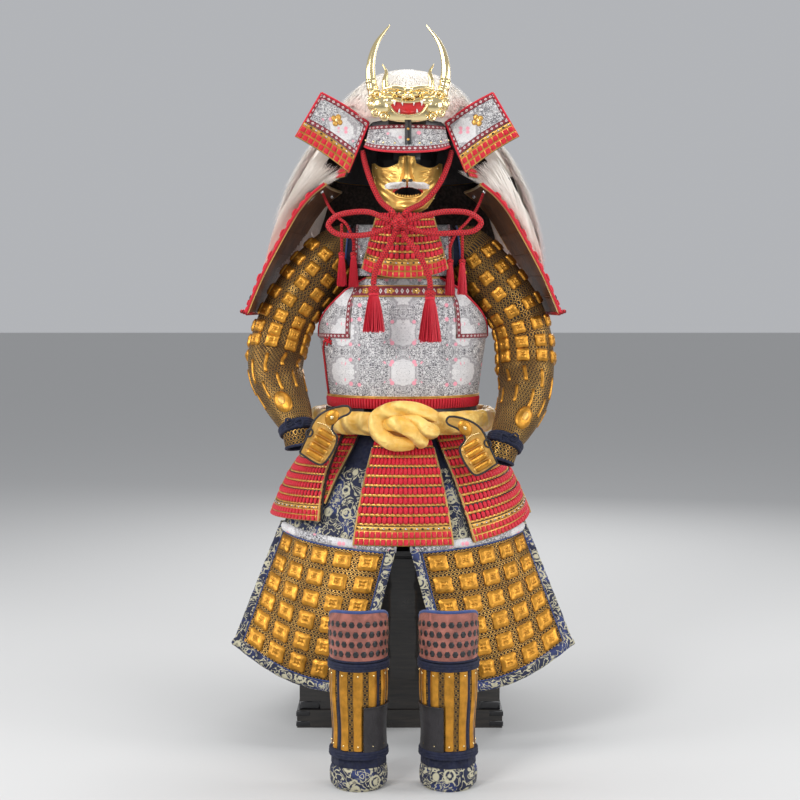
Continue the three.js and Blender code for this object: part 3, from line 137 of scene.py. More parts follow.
# Height, half width and half depth of the shin guard
SHIN_SECTION = [
    (0, 53, 55), (46, 54, 50), (120, 51, 47), (200, 56, 51), (272, 55, 52), (330, 57, 54), (372, 52, 50),
]
SHIN = {"x": 92, "y": -543, "top": 372, "half": 112, "knee": 264, "knee_high": 106, "splints": 7}
SPLINT = {"low": 83, "high": 246, "wide": 0.088, "rivets": (92, 238)}
KNEE_STUDS = {"low": 283, "high": 343, "rows": 4, "columns": 14}
APRON = {"half": 72, "top": 736, "behind": 12, "foot": 446, "foot_out": 471, "dark_rows": 15}
# Folds of the apron: angle, where they start, height and half width in degrees
APRON_FOLDS = [
    (-63, 0.45, 3.4, 2.4), (-52, 0.30, 2.2, 1.8), (-40, 0.55, 4.0, 3.0), (-31, 0.40, 1.8, 1.5),
    (-23, 0.62, 3.0, 2.2), (-9, 0.50, 2.6, 2.6), (3, 0.66, 3.6, 1.9), (17, 0.42, 2.0, 1.6),
    (26, 0.58, 3.8, 2.8), (38, 0.36, 2.4, 1.7), (49, 0.52, 3.2, 2.5), (60, 0.40, 2.0, 1.9),
    (67, 0.60, 3.0, 2.0),
]
THIGH = {
    "slit": 2.4, "low_in": (102, -312, 126), "low_out": (384, -246, 220), "bow": 26, "belly": 12, "sag": 26,
    "edge": 0.055, "rows": 6, "columns": 5,
}
# Angles inside at the top and foot, then outside, layer, and height of the foot at either end
TASSETS = {
    "centre": (-19.5, -21, 19.5, 21, 0, 444, 444),
    "front_left": (-31, -38, -63, -66, 0, 530, 520),
    "side_left": (-48, -37, -92, -94, 12, 492, 480),
    "front_right": (22, 30, 86, 88, 0, 446, 492),
    "side_right": (91, 92, 138, 140, 0, 480, 480),
    "back_left": (-178, -178, -103, -101, 0, 480, 480),
    "back_right": (178, 178, 142, 144, 0, 480, 480),
}
SKIRT_TOP = 741.9
LAMES_TOP = 656
BELT_FOOT = 684
LAYER_AT_BELT = 8.5
BELT = {"z": 711, "high": 54, "deep": 34, "clear": 4.9, "strand": 20}
# Rolls of the belt's knot: x, how far ahead of the belt, and height
BELT_KNOT = [
    [(76, 8, 728), (34, 2, 744), (-18, -6, 748), (-58, -2, 728), (-57, -4, 696), (-24, -8, 672),
     (24, 2, 668)],
    [(-46, 6, 716), (-8, -18, 714), (30, -16, 692), (46, -2, 666)],
    [(-14, 4, 728), (18, -4, 722), (50, -18, 704), (76, -4, 694)],
]
# Middle and radius of the bow's knot
KNOT = (-9, -206, 1166, 19)
# Each chin cord leaves the knot at the first angle, and a loop comes back to it at the second
CHIN_ROUTES = {
    "chin_cord_left": (122, None, [
        (-50, -172, 1216), (-66, -160, 1246), (-78, -148, 1276), (-87, -136, 1306), (-93.4, -124, 1334),
    ]),
    "chin_cord_right": (58, None, [
        (42, -174, 1212), (70, -162, 1240), (90, -150, 1272), (103, -137, 1304), (111.6, -124, 1334),
    ]),
    "bow_loop_left": (163, 203, [
        (-74, -204, 1190), (-118, -200, 1190), (-154, -198, 1180), (-168, -198, 1161),
        (-152, -200, 1144), (-112, -203, 1138), (-72, -206, 1142),
    ]),
    "bow_loop_right": (17, -23, [
        (52, -206, 1184), (100, -202, 1192), (150, -198, 1188), (175, -198, 1168),
        (160, -200, 1150), (112, -203, 1144), (56, -206, 1144),
    ]),
    "cord_tail_left": (247, None, [
        (-34, -211, 1112), (-50, -213, 1084), (-62, -214, 1058), (-66, -214, 1040), (-66, -214, 1028),
    ]),
    "cord_tail_right": (293, None, [
        (20, -213, 1116), (40, -215, 1086), (54, -215, 1056), (60, -215, 1034), (60, -215, 1019),
    ]),
}
TIE_ROUTES = {
    "tie_cord_left": [
        (-188.4, -64, 1245), (-180, -72, 1226), (-168, -90, 1204), (-148, -116, 1182), (-133, -126, 1171),
        (-121, -128, 1150), (-114, -128, 1128), (-114, -128, 1106),
    ],
    "tie_cord_right": [
        (188.4, -64, 1245), (180, -72, 1224), (168, -90, 1200), (146, -116, 1172), (130, -126, 1156),
        (117, -128, 1138), (108, -128, 1114), (108, -128, 1090),
    ],
}
# Tassels: x, y, z of the top, foot, head radius, reach, strands, string above
TASSELS = {
    "tassel_large_left": (-66, -214, 1027.6, 920, 13, 26, 150, 0),
    "tassel_large_right": (60, -215, 1018.6, 898, 13, 27, 150, 0),
    "tassel_left_a": (-114, -128, 1105.6, 1022, 8, 12, 60, 0),
    "tassel_left_b": (-141, -128, 1105.6, 1024, 8, 12, 60, 64.3),
    "tassel_right_a": (108, -128, 1089.6, 1003, 8, 12, 60, 0),
    "tassel_right_b": (136, -128, 1089.6, 1005, 8, 12, 60, 64.2),
}
# How far down a row and how far out a bar of lacing runs
LACE_BAR = ((0.02, 0.3), (0.14, 2.0), (0.38, 2.7), (0.62, 2.0), (0.75, 0.7))
# Angle between neighbouring strands of a tassel
GOLDEN_TURN = 2.39996
LACE_PITCH = 12.4
MANE_CROWN = 1531
HAIR = {"strands": 9800, "locks": 2400, "length": 8, "moustache": 1000}
# Locks of hair: x outside and inside, y and its spread, z outside and inside
LOCK_ROUTE = (
    (212, 122, -92, 16, 1322, 1292), (246, 188, -84, 18, 1262, 1258), (276, 246, -66, 20, 1206, 1212),
    (300, 284, -48, 22, 1142, 1158), (324, 312, -34, 24, 1076, 1102),
)
CUIRASS = {"foot": 743, "front_top": 1048.6, "back_top": 1138.6, "skin": 0.9, "wing": 3.7, "trim": 4.4}
BREAST_BAND = {"low": 1004, "high": 1026, "half": 38, "flowers": (-27, -9, 9, 27), "middle": 1015}
# Height and how far out the waist's lacing lies
WAIST_LACE = ((744, 1.2), (747, 3.4), (762, 3.2), (766, 1.0))
# Height and angle of the side's tie
SIDE_TIE = ((900, -62), (896, -68), (880, -72), (850, -73), (810, -74), (772, -74))
SLEEVE_PLATES = {"top": 0.115, "low": 0.455, "rows": 7, "columns": 9, "size": (15.0, 14.5, 6.0)}
ELBOW_TURN = {"left": 0.74, "right": 0.78}
GUARD_DEPTH = (-112, 128)
HANDS = {"left": (-187, -220.9, 670), "right": (166, -220.4, 646)}
HAND_TILT = (0.86, 0.51)
HAND_OUTLINE = [
    (-30, -40), (14, -42), (27, -37), (32, -14), (31, 16), (24, 34), (6, 42), (2, 58), (9, 76), (20, 92),
    (20, 101), (10, 106), (-24, 76), (-38, 44), (-34, 0), (-30, -40),
]
HAND_BEADS = ((-29, 40), (-10, 44), (8, 38), (24, 26))
NECK = {"from": 56, "to": 304, "top": 1389.6, "foot": 1274}
VISOR = {"half": 50, "foot": 1324, "rise": 19}
# Corners of a turn-back: towards the head's middle, depth and height
TURN_BACK = {
    "top_in": (-88, -123, 1398), "top_out": (-194, -150, 1462),
    "low_in": (-134, -152, 1283), "low_out": (-252, -160, 1362),
}
# Share of a plate's size and of its height, from the rim to the stud
BOSS_SECTION = (
    (1.0, -0.3), (1.0, 0.34), (0.92, 0.60), (0.72, 0.70), (0.56, 1.0), (0.40, 0.98), (0.27, 0.64),
    (0.17, 0.70), (0.12, 1.04), (0.01, 1.10),
)
CREST = (11, -186)
# Round forms of the crest: place, radii, finish, rows and sides
CREST_MIDDLE = [
    ((0, 2, 1432), (92, 11, 40), "bright", 12, 32), ((0, -4, 1456), (40, 13, 14), "bright", 10, 20),
    ((0, -14, 1449), (11, 13, 9), "bright", 10, 16),
]
CREST_PAIRS = [
    ((9, -18, 1445), (6, 7, 5), "bright", 8, 12), ((42, -8, 1438), (17, 12, 11), "bright", 8, 14),
    ((26, -17, 1454), (7, 6, 5), "bright", 8, 12), ((26, -22, 1454), (2.6, 2.2, 2.6), "black", 6, 10),
]
CREST_CHEEK = ((60, -4, 1430), (24, 13, 22), "bright", 10, 16)
CREST_ROOT = ((50, 2, 1458), (12, 9, 8), "bright", 8, 12)
# Middle and radius of each curl beside the crest's face
CREST_CURLS = ((70, 1452, 11), (84, 1432, 12), (74, 1412, 11), (54, 1404, 10), (60, 1432, 12))
CREST_HORN = ((76, 6, 1452), (83, 6, 1484), (84, 8, 1520), (72, 14, 1566), (41, 22, 1611))
CREST_PRONG = ((50, 4, 1456), (52, 4, 1484), (49, 8, 1505), (58, 12, 1523))
# Teeth: points, thickness and tip
CREST_TEETH = [
    (((12, -18, 1436), (13, -20, 1431), (12, -19, 1426)), 2.4, 0.5),
    (((30, -18, 1436), (31, -20, 1431), (30, -19, 1426)), 3.2, 0.5),
    (((20, -16, 1412), (20, -18, 1416), (19, -17, 1420)), 2.2, 0.4),
]
CREST_MOUTH = {"top": 1438, "foot": 1409, "wide": 46, "narrow": 28}
CREST_LIP = (
    (-47, -12, 1440), (-22, -17, 1437), (0, -19, 1434), (22, -17, 1437), (47, -12, 1440), (38, -13, 1422),
    (28, -15, 1410), (0, -18, 1404), (-28, -15, 1410), (-38, -13, 1422), (-47, -12, 1440),
)
# Height, back and front of the crest's holder, and its two sides
CREST_HOLDER = ((1341.5, -201, -206.4), (1372, -191, -197.4), (1405, -180, -187))
HOLDER_SIDES = (3.4, 18.6)
MASK_FOOT = 1194
MASK_TURN = 82
MOUTH = {"x": 2, "z": 1238, "half": 33, "high": 13.4}
MASK_RIVETS = ((70, 1296), (74, 1276), (62, 1228), (50, 1206))
MASK_HOOK = ((72, 1262, 0), (76, 1254, 6), (76, 1244, 8), (66, 1240, 4))
THROAT_SPOT = {"x": 4, "y": -88, "half": 62, "top": 1193.4, "foot": 1044, "rise": 22}
# Height and how far out the hem of a shin guard lies
SHIN_HEM = ((0.8, -1.4), (6, 3.6), (16, 5.2), (28, 5.6), (38, 4.4), (45, 1.6))
SHIN_PATCH = {"left": (0.55, 0.925), "right": (0.075, 0.45)}
# Heights of the chest's corner plates, its plinth's plates and the seam of its lid
CHEST_CORNERS = (52, 372)
PLINTH_CORNERS = (10, 34)
LID_SEAMS = (398, 402)
HANDLE = {"half": 46, "z": 300, "drop": 26}
STRAP_X = 85
STRAP_LINE = (
    (-112, 1049.5), (-110, 1085), (-92, 1126), (-58, 1153), (-14, 1165), (30, 1165), (60, 1156), (79, 1139.5),
)
STRAP_ACROSS = (-26, -20, -10, 0, 10, 20, 26)


def mix(a, b, t):
    """The value at share t from a to b."""
    return a + (b - a) * t


def clamp(value, low=0.0, high=1.0):
    """The value kept within two limits."""
    return min(high, max(low, value))


def steps(count):
    """Even shares from 0 to 1, both included."""
    return [i / count for i in range(count + 1)]


def between(low, high, count):
    """Even values from low to high, both included."""
    return [mix(low, high, t) for t in steps(count)]


def circle(count, whole=2 * math.pi):
    """Angles round a loop, both ends included."""
    return [whole * k / count for k in range(count + 1)]


def patch(point, rows, columns, out):
    """Rows of points over a surface, all as far out."""
    return [[point(t, a, out) for a in columns] for t in rows]


def add_object(name, data):
    """Puts a mesh, camera or lamp into the scene."""
    obj = bpy.data.objects.new(name, data)
    bpy.context.scene.collection.objects.link(obj)
    return obj


def smooth_read(table, column, value):
    """A column of a table read at a value of its first column, with smooth slopes between rows."""
    last = len(table) - 1
    at = clamp(value, table[0][0], table[last][0])
    i = 0
    while i < last - 1 and table[i + 1][0] < at:
        i += 1

    def slope(j):
        low = table[max(j - 1, 0)]
        high = table[min(j + 1, last)]
        return (high[column] - low[column]) / (high[0] - low[0])

    span = table[i + 1][0] - table[i][0]
    t = (at - table[i][0]) / span
    rise = 3 * t * t - 2 * t ** 3
    start = table[i][column] * (1 - rise) + (t ** 3 - 2 * t * t + t) * span * slope(i)
    return start + table[i + 1][column] * rise + (t ** 3 - t * t) * span * slope(i + 1)


def line_read(table, column, value):
    """A column of a table read at a value of its first column, straight between rows."""
    return float(np.interp(value, [row[0] for row in table], [row[column] for row in table]))


def on_oval(table, angle, z, out=0.0, x=0.0, y=0.0):
    """A point on a body whose half width and depths change with height; angle 0 faces the front."""
    turn = math.radians(angle)
    deep = smooth_read(table, 2 if math.cos(turn) > 0 else 3, z)
    wide = smooth_read(table, 1, z)
    return Vector((x + (wide + out) * math.sin(turn), y - (deep + out) * math.cos(turn), z))


def spline(points, per=8):
    """Points on the centripetal spline through a route, the curve that the frame's tubes follow."""
    route = [Vector(p) for p in points]
    ends = [2 * route[0] - route[1], *route, 2 * route[-1] - route[-2]]
    line = []
    for i in range(len(route) - 1):
        p0, p1, p2, p3 = ends[i:i + 4]
        d0, d1, d2 = ((b - a).length ** 0.5 for a, b in ((p0, p1), (p1, p2), (p2, p3)))
        m1 = ((p1 - p0) / d0 - (p2 - p0) / (d0 + d1) + (p2 - p1) / d1) * d1
        m2 = ((p2 - p1) / d1 - (p3 - p1) / (d1 + d2) + (p3 - p2) / d2) * d1
        square = 3 * (p2 - p1) - 2 * m1 - m2
        cube = 2 * (p1 - p2) + m1 + m2
        for t in steps(per)[:-1]:
            line.append(p1 + m1 * t + square * t * t + cube * t ** 3)
    line.append(route[-1])
    return line


class Shader:
    """A principled material with short calls for the nodes that drive it."""

    def __init__(self, name, color, rough=0.5, metal=0.0, sheen=0.0, coat=0.0):
        self.material = bpy.data.materials.new(name)
        self.material.use_nodes = True
        self.tree = self.material.node_tree
        self.bsdf = self.tree.nodes["Principled BSDF"]
        self.set("Base Color", (*color, 1))
        self.set("Roughness", rough)
        self.set("Metallic", metal)
        self.set("Sheen Weight", sheen)
        self.set("Coat Weight", coat)

    def put(self, socket, value):
        if isinstance(value, bpy.types.NodeSocket):
            self.tree.links.new(value, socket)
        else:
            socket.default_value = value

    def set(self, name, value):
        self.put(self.bsdf.inputs[name], value)

    def math(self, operation, a, b=0.0):
        node = self.tree.nodes.new("ShaderNodeMath")
        node.operation = operation
        self.put(node.inputs[0], a)
        self.put(node.inputs[1], b)
        return node.outputs[0]

    def times(self, a, b):
        return self.math("MULTIPLY", a, b)

    def plus(self, a, b):
        return self.math("ADD", a, b)

    def minus(self, a, b):
        return self.math("SUBTRACT", a, b)

    def coords(self, kind="Object", scale=(1, 1, 1), turn=(0, 0, 0)):
        source = self.tree.nodes.new("ShaderNodeTexCoord").outputs[kind]
        node = self.tree.nodes.new("ShaderNodeMapping")
        self.put(node.inputs["Vector"], source)
        node.inputs["Scale"].default_value = scale
        node.inputs["Rotation"].default_value = turn
        return node.outputs[0]

    def split(self, vector):
        node = self.tree.nodes.new("ShaderNodeSeparateXYZ")
        self.put(node.inputs[0], vector)
        return node.outputs

    def join(self, x, y, z=0.0):
        node = self.tree.nodes.new("ShaderNodeCombineXYZ")
        for socket, value in zip(node.inputs, (x, y, z)):
            self.put(socket, value)
        return node.outputs[0]

    def noise(self, vector, scale, detail=3.0, distortion=0.0):
        node = self.tree.nodes.new("ShaderNodeTexNoise")
        self.put(node.inputs["Vector"], vector)
        node.inputs["Scale"].default_value = scale
        node.inputs["Detail"].default_value = detail
        node.inputs["Distortion"].default_value = distortion
        return node.outputs[0]

    def cells(self, vector, scale, output="Distance", feature="F1"):
        node = self.tree.nodes.new("ShaderNodeTexVoronoi")
        node.feature = feature
        self.put(node.inputs["Vector"], vector)
        node.inputs["Scale"].default_value = scale
        return node.outputs[output]

    def wave(self, vector, scale, distortion=0.0, kind="BANDS", detail=2.0, detail_scale=1.0):
        node = self.tree.nodes.new("ShaderNodeTexWave")
        node.wave_type = kind
        self.put(node.inputs["Vector"], vector)
        node.inputs["Scale"].default_value = scale
        node.inputs["Distortion"].default_value = distortion
        node.inputs["Detail"].default_value = detail
        node.inputs["Detail Scale"].default_value = detail_scale
        return node.outputs[1]

    def ramp(self, value, stops):
        node = self.tree.nodes.new("ShaderNodeValToRGB")
        self.put(node.inputs[0], value)
        points = node.color_ramp.elements
        while len(points) < len(stops):
            points.new(0.5)
        for point, (place, color) in zip(points, stops):
            point.position = place
            point.color = (*color, 1) if isinstance(color, tuple) else (color, color, color, 1)
        return node.outputs[0]

    def blend(self, factor, a, b):
        node = self.tree.nodes.new("ShaderNodeMix")
        node.data_type = "RGBA"
        self.put(node.inputs[0], factor)
        self.put(node.inputs[6], (*a, 1) if isinstance(a, tuple) else a)
        self.put(node.inputs[7], (*b, 1) if isinstance(b, tuple) else b)
        return node.outputs[2]

    def bump(self, height, distance=0.001, strength=1.0):
        node = self.tree.nodes.new("ShaderNodeBump")
        self.put(node.inputs["Height"], height)
        node.inputs["Distance"].default_value = distance
        node.inputs["Strength"].default_value = strength
        self.set("Normal", node.outputs[0])


def plain(name, color, rough, metal=0.0, grain=40.0, depth=0.0004, spread=0.25, sheen=0.0, coat=0.0):
    """A finish with its own mottling, worn roughness and fine grain."""
    s = Shader(name, color, rough, metal, sheen, coat)
    where = s.coords()
    patches = s.noise(where, grain, 4)
    dark = tuple(c * (1 - spread) for c in color)
    light = tuple(min(1, c * (1 + spread)) for c in color)
    s.set("Base Color", s.ramp(patches, [(0.3, dark), (0.7, light)]))
    wear = s.noise(where, grain * 2.3, 5)
    s.set("Roughness", s.ramp(wear, [(0.3, rough * 0.8), (0.7, min(1, rough * 1.25))]))
    s.bump(s.noise(where, grain * 12, 3), depth, 0.6)
    return s.material


def silk(name, color, pitch=0.0011):
    """Twisted silk: fine slanting ridges, with painted shade in the grooves between them and a slight random
    change of colour.
    """
    s = Shader(name, color, 0.5, 0, 0.04)
    where = s.coords(turn=(0.5, 0.6, 0.7))
    ridges = s.wave(where, 0.31 / pitch, 1.5)
    patches = s.noise(s.coords(), 90, 2)
    # Painted shade: the colour falls to 0.62 of itself in the grooves between the ridges.
    dark = tuple(c * 0.62 for c in color)
    tone = s.ramp(ridges, [(0.1, dark), (0.75, color)])
    light = tuple(min(1, c * 1.35) for c in color)
    s.set("Base Color", s.blend(s.times(patches, 0.4), tone, light))
    s.bump(ridges, 0.0005, 0.8)
    return s.material


def rope(name, color):
    """Braided rope, with the braid laid out along the tube's own length and painted shade in its grooves."""
    s = Shader(name, color, 0.5, 0, 0.04)
    u, v = s.split(s.coords("UV"))[:2]
    one, two = (s.math("SINE", s.math(way, s.times(u, 620), s.times(v, 1050)))
                for way in ("ADD", "SUBTRACT"))
    braid = s.math("MAXIMUM", one, two)
    # Painted shade: the colour falls to 0.4 of itself in the grooves of the braid.
    s.set("Base Color", s.ramp(braid, [(0.0, tuple(c * 0.4 for c in color)), (0.65, color)]))
    s.bump(braid, 0.0013, 1.0)
    return s.material


def brocade():
    """White brocade: mirrored pale medallions between patches of dense dark scrolls, with pink blossoms."""
    s = Shader("brocade_white", (0.7, 0.68, 0.67), 0.6, 0, 0.04)
    x, y, z = s.split(s.coords())
    across = s.math("PINGPONG", x, 0.0695)
    up = s.math("PINGPONG", z, 0.046)
    folded = s.join(across, s.times(y, 0.5), up)
    wobble = s.noise(folded, 85, 3)
    reach = s.math("SQRT", s.plus(s.times(across, across), s.times(up, up)))
    border = s.plus(reach, s.times(wobble, 0.030))
    dense = s.ramp(border, [(0.0, 0.0), (0.046, 0.0), (0.056, 1.0), (0.092, 1.0), (0.098, 0.1)])
    curls = s.noise(folded, 170, 2, 1.6)
    fine = s.ramp(curls, [(0.43, 0.0), (0.46, 1.0), (0.54, 1.0), (0.57, 0.0)])
    sprigs = s.noise(folded, 80, 1, 3.0)
    faint = s.ramp(sprigs, [(0.475, 0.0), (0.49, 1.0), (0.51, 1.0), (0.525, 0.0)])
    rim = s.ramp(border, [(0.043, 0.0), (0.047, 0.8), (0.051, 0.0)])
    tone = s.ramp(s.noise(folded, 30, 4), [(0.35, (0.80, 0.79, 0.78)), (0.7, (0.64, 0.63, 0.64))])
    tone = s.blend(s.times(dense, fine), tone, (0.09, 0.085, 0.10))
    tone = s.blend(s.times(faint, 0.6), tone, (0.20, 0.19, 0.21))
    tone = s.blend(rim, tone, (0.22, 0.20, 0.22))
    petals = s.ramp(s.cells(folded, 46), [(0.20, 1.0), (0.27, 0.0)])
    chosen = s.ramp(s.noise(folded, 26, 1), [(0.53, 0.0), (0.56, 1.0)])
    tone = s.blend(s.times(petals, chosen), tone, (0.86, 0.34, 0.42))
    s.set("Base Color", tone)
    weave = s.times(s.wave(s.coords(), 260, 0), 0.3)
    s.bump(s.plus(s.times(dense, fine), weave), 0.0004, 0.6)
    return s.material


def diamonds(name, ground, mark, pitch=0.0125):
    """Woven band with a row of diamonds down its middle; the band's width is 1 in v."""
    s = Shader(name, ground, 0.6, 0, 0.3)
    u, v = s.split(s.coords("UV"))[:2]
    along = s.math("ABSOLUTE", s.minus(s.math("FRACT", s.math("DIVIDE", u, pitch)), 0.5))
    over = s.math("ABSOLUTE", s.minus(v, 0.5))
    reach = s.plus(s.times(along, 1.9), s.times(over, 2.0))
    shape = s.ramp(reach, [(0.0, 0.0), (0.2, 0.0), (0.24, 1.0), (0.56, 1.0), (0.62, 0.0)])
    edge = s.ramp(over, [(0.36, 0.0), (0.40, 0.7), (0.46, 0.7), (0.5, 0.2)])
    s.set("Base Color", s.blend(edge, s.blend(shape, ground, mark), tuple(c * 0.4 for c in ground)))
    s.bump(s.plus(shape, s.wave(s.coords(), 300, 0)), 0.0004, 0.6)
    return s.material


def floral(name, ground, mark, scale=26):
    """Dark woven cloth with pale curling leaves and round flowers."""
    s = Shader(name, ground, 0.65, 0, 0.05)
    where = s.coords()
    flower = s.ramp(s.cells(where, scale),
                    [(0.14, 1.0), (0.18, 0.0), (0.24, 0.0), (0.28, 1.0), (0.34, 1.0), (0.37, 0.0)])
    leaf = s.ramp(s.noise(where, scale * 1.7, 1, 2.2), [(0.45, 0.0), (0.47, 1.0), (0.53, 1.0), (0.55, 0.0)])
    pattern = s.math("MAXIMUM", flower, leaf)
    blue = s.ramp(s.noise(where, scale * 0.8, 2), [(0.5, ground), (0.6, tuple(c * 3.5 for c in ground))])
    s.set("Base Color", s.blend(pattern, blue, mark))
    s.bump(s.plus(pattern, s.wave(where, 280, 0)), 0.0005, 0.7)
    return s.material


def mail():
    """Small gold rings sewn to dark cloth, laid out in rows by the piece's own measure."""
    s = Shader("mail", (0.3, 0.17, 0.04), 0.4)
    u, v = s.split(s.coords("UV"))[:2]
    pitch = 0.0088
    row = s.math("DIVIDE", v, pitch)
    shift = s.times(s.math("MODULO", s.math("FLOOR", row), 2.0), 0.5)
    column = s.plus(s.math("DIVIDE", u, pitch), shift)
    du = s.minus(s.math("FRACT", column), 0.5)
    dv = s.minus(s.math("FRACT", row), 0.5)
    radius = s.math("SQRT", s.plus(s.times(du, du), s.times(dv, dv)))
    ring = s.ramp(radius, [(0.30, 0.0), (0.36, 1.0), (0.45, 1.0), (0.51, 0.0)])
    patches = s.noise(s.coords(), 20, 3)
    gold = s.ramp(patches, [(0.3, (0.40, 0.20, 0.04)), (0.7, (0.66, 0.38, 0.09))])
    s.set("Base Color", s.blend(ring, (0.014, 0.008, 0.005), gold))
    s.set("Metallic", s.times(ring, 0.85))
    s.set("Roughness", s.ramp(ring, [(0.0, 0.85), (1.0, 0.36)]))
    s.bump(ring, 0.0016, 1.0)
    return s.material


def satin():
    """Golden padded satin with soft creases and a fine weave; its colour follows the creases as painted light
    and shade, over random patches.
    """
    s = Shader("belt_satin", (0.88, 0.48, 0.06), 0.42, 0, 0.1)
    where = s.coords()
    creases = s.wave(s.coords(turn=(0.3, 0.5, 0.9)), 9, 6, "BANDS", 2, 1.4)
    patches = s.times(s.noise(where, 45, 4), 0.6)
    # Painted light and shade on the folds: the creases lighten and darken the gold, added to random patches.
    shade = s.plus(patches, s.times(creases, 0.3))
    s.set("Base Color", s.ramp(shade, [(0.22, (0.80, 0.42, 0.05)), (0.62, (1.0, 0.68, 0.19))]))
    folds = s.plus(creases, s.times(s.noise(where, 60, 3, 0.5), 0.8))
    s.bump(folds, 0.008, 0.9)
    return s.material


def hair():
    """Pale hair, warmer and slightly pink towards its ends; v runs from root to tip."""
    s = Shader("hair", (0.95, 0.90, 0.84), 0.8, 0, 0.5)
    v = s.split(s.coords("UV"))[1]
    tone = s.ramp(v, [(0.0, (0.97, 0.93, 0.87)), (0.70, (0.97, 0.91, 0.84)), (1.0, (0.95, 0.74, 0.68))])
    patches = s.noise(s.coords(), 26, 3)
    s.set("Base Color", s.blend(s.times(patches, 0.10), tone, (0.72, 0.64, 0.56)))
    return s.material


def mane_base():
    """Ground under the hair: pale on the outside, with painted shade on the inside, near-black with a faint
    speckle.
    """
    s = Shader("mane_base", (0.86, 0.80, 0.72), 0.8)
    shape = s.tree.nodes.new("ShaderNodeNewGeometry")
    x, y = s.split(shape.outputs["Position"])[:2]
    nx, ny = s.split(shape.outputs["Normal"])[:2]
    # Faces whose normals point in towards the head's middle make up the inner side.
    outward = s.plus(s.times(x, nx), s.times(s.plus(y, 0.01), ny))
    facing = s.ramp(s.plus(s.times(outward, 8), 0.5), [(0.42, 0.0), (0.46, 1.0)])
    speckle = s.noise(s.coords(), 160, 3)
    # Painted shade: the inner side is coloured near-black, with a faint speckle, where the hair lies in
    # shadow.
    inner_painted_shade = s.ramp(speckle, [(0.4, (0.020, 0.014, 0.012)), (0.7, (0.075, 0.055, 0.045))])
    s.set("Base Color", s.blend(facing, inner_painted_shade, (0.86, 0.80, 0.72)))
    s.bump(speckle, 0.002, 0.6)
    return s.material


def lacquer():
    """Near-black lacquer with a faint wood grain under a clear coat."""
    s = Shader("chest_lacquer", (0.012, 0.011, 0.010), 0.32, 0, 0, 0.5)
    where = s.coords(scale=(6, 6, 60))
    grain = s.noise(where, 3, 4, 0.6)
    s.set("Base Color", s.ramp(grain, [(0.3, (0.008, 0.007, 0.007)), (0.7, (0.030, 0.024, 0.019))]))
    s.set("Roughness", s.ramp(s.noise(s.coords(), 9, 4), [(0.3, 0.24), (0.7, 0.42)]))
    s.bump(grain, 0.0004, 0.4)
    return s.material


def creased_leather(name, color):
    """Leather with fine cells and a few longer creases."""
    s = Shader(name, color, 0.55, 0, 0, 0.1)
    where = s.coords()
    cells = s.cells(where, 300, "Distance", "DISTANCE_TO_EDGE")
    creases = s.noise(where, 30, 5, 1.5)
    dark, light = (tuple(c * share for c in color) for share in (0.6, 1.4))
    s.set("Base Color", s.ramp(creases, [(0.3, dark), (0.7, light)]))
    height = s.plus(s.ramp(cells, [(0.0, 0.0), (0.08, 1.0)]), s.times(creases, 2.0))
    s.bump(height, 0.0009, 0.8)
    return s.material


M = {
    "lacing": silk("lacing_silk", (0.74, 0.012, 0.035)),
    "rope": rope("cord_rope", (0.66, 0.008, 0.018)),
    "brocade": brocade(),
    "trim": diamonds("trim_red", (0.24, 0.008, 0.022), (0.72, 0.68, 0.66)),
    "trim_gold": diamonds("trim_gold", (0.60, 0.34, 0.07), (0.74, 0.70, 0.62), 0.009),
    "floral": floral("navy_floral", (0.006, 0.011, 0.045), (0.56, 0.52, 0.36)),
    "navy": plain("navy_cloth", (0.006, 0.009, 0.032), 0.85, 0, 60, 0.0006, 0.3, 0.05),
    "piping": plain("blue_piping", (0.03, 0.06, 0.20), 0.7, 0, 90, 0.0004, 0.2, 0.2),
    "mail": mail(),
    "edge": plain("gold_edge", (0.66, 0.37, 0.09), 0.40, 0.7, 70, 0.0004),
    "plate": plain("gold_plate", (0.56, 0.26, 0.035), 0.36, 0.85, 55, 0.0007, 0.3),
    "mask": plain("mask_gold", (0.84, 0.52, 0.14), 0.36, 0.8, 30, 0.0003, 0.1),
    "bright": plain("crest_gold", (0.96, 0.78, 0.42), 0.16, 1.0, 20, 0.0001, 0.05),
    "hair": hair(),
    "mane_base": mane_base(),
    "leather": creased_leather("brown_leather", (0.17, 0.062, 0.022)),
    "knee": creased_leather("knee_leather", (0.34, 0.12, 0.09)),
    "black_leather": creased_leather("black_leather", (0.022, 0.019, 0.022)),
    "black": plain("black_lacquer", (0.010, 0.010, 0.012), 0.35, 0, 40, 0.0003, 0.3, 0, 0.3),
    "satin": satin(),
    "chest": lacquer(),
    "wood": plain("stand_wood", (0.045, 0.030, 0.020), 0.6, 0, 18, 0.0008, 0.35),
    "silver": plain("silver_studs", (0.62, 0.62, 0.64), 0.25, 1.0, 60, 0.0002),
    "red": plain("red_lacquer", (0.50, 0.012, 0.012), 0.3, 0, 50, 0.0002, 0.15, 0, 0.4),
    "white": plain("white_hair", (0.80, 0.78, 0.74), 0.55, 0, 120, 0.0003, 0.1, 0.3),
}


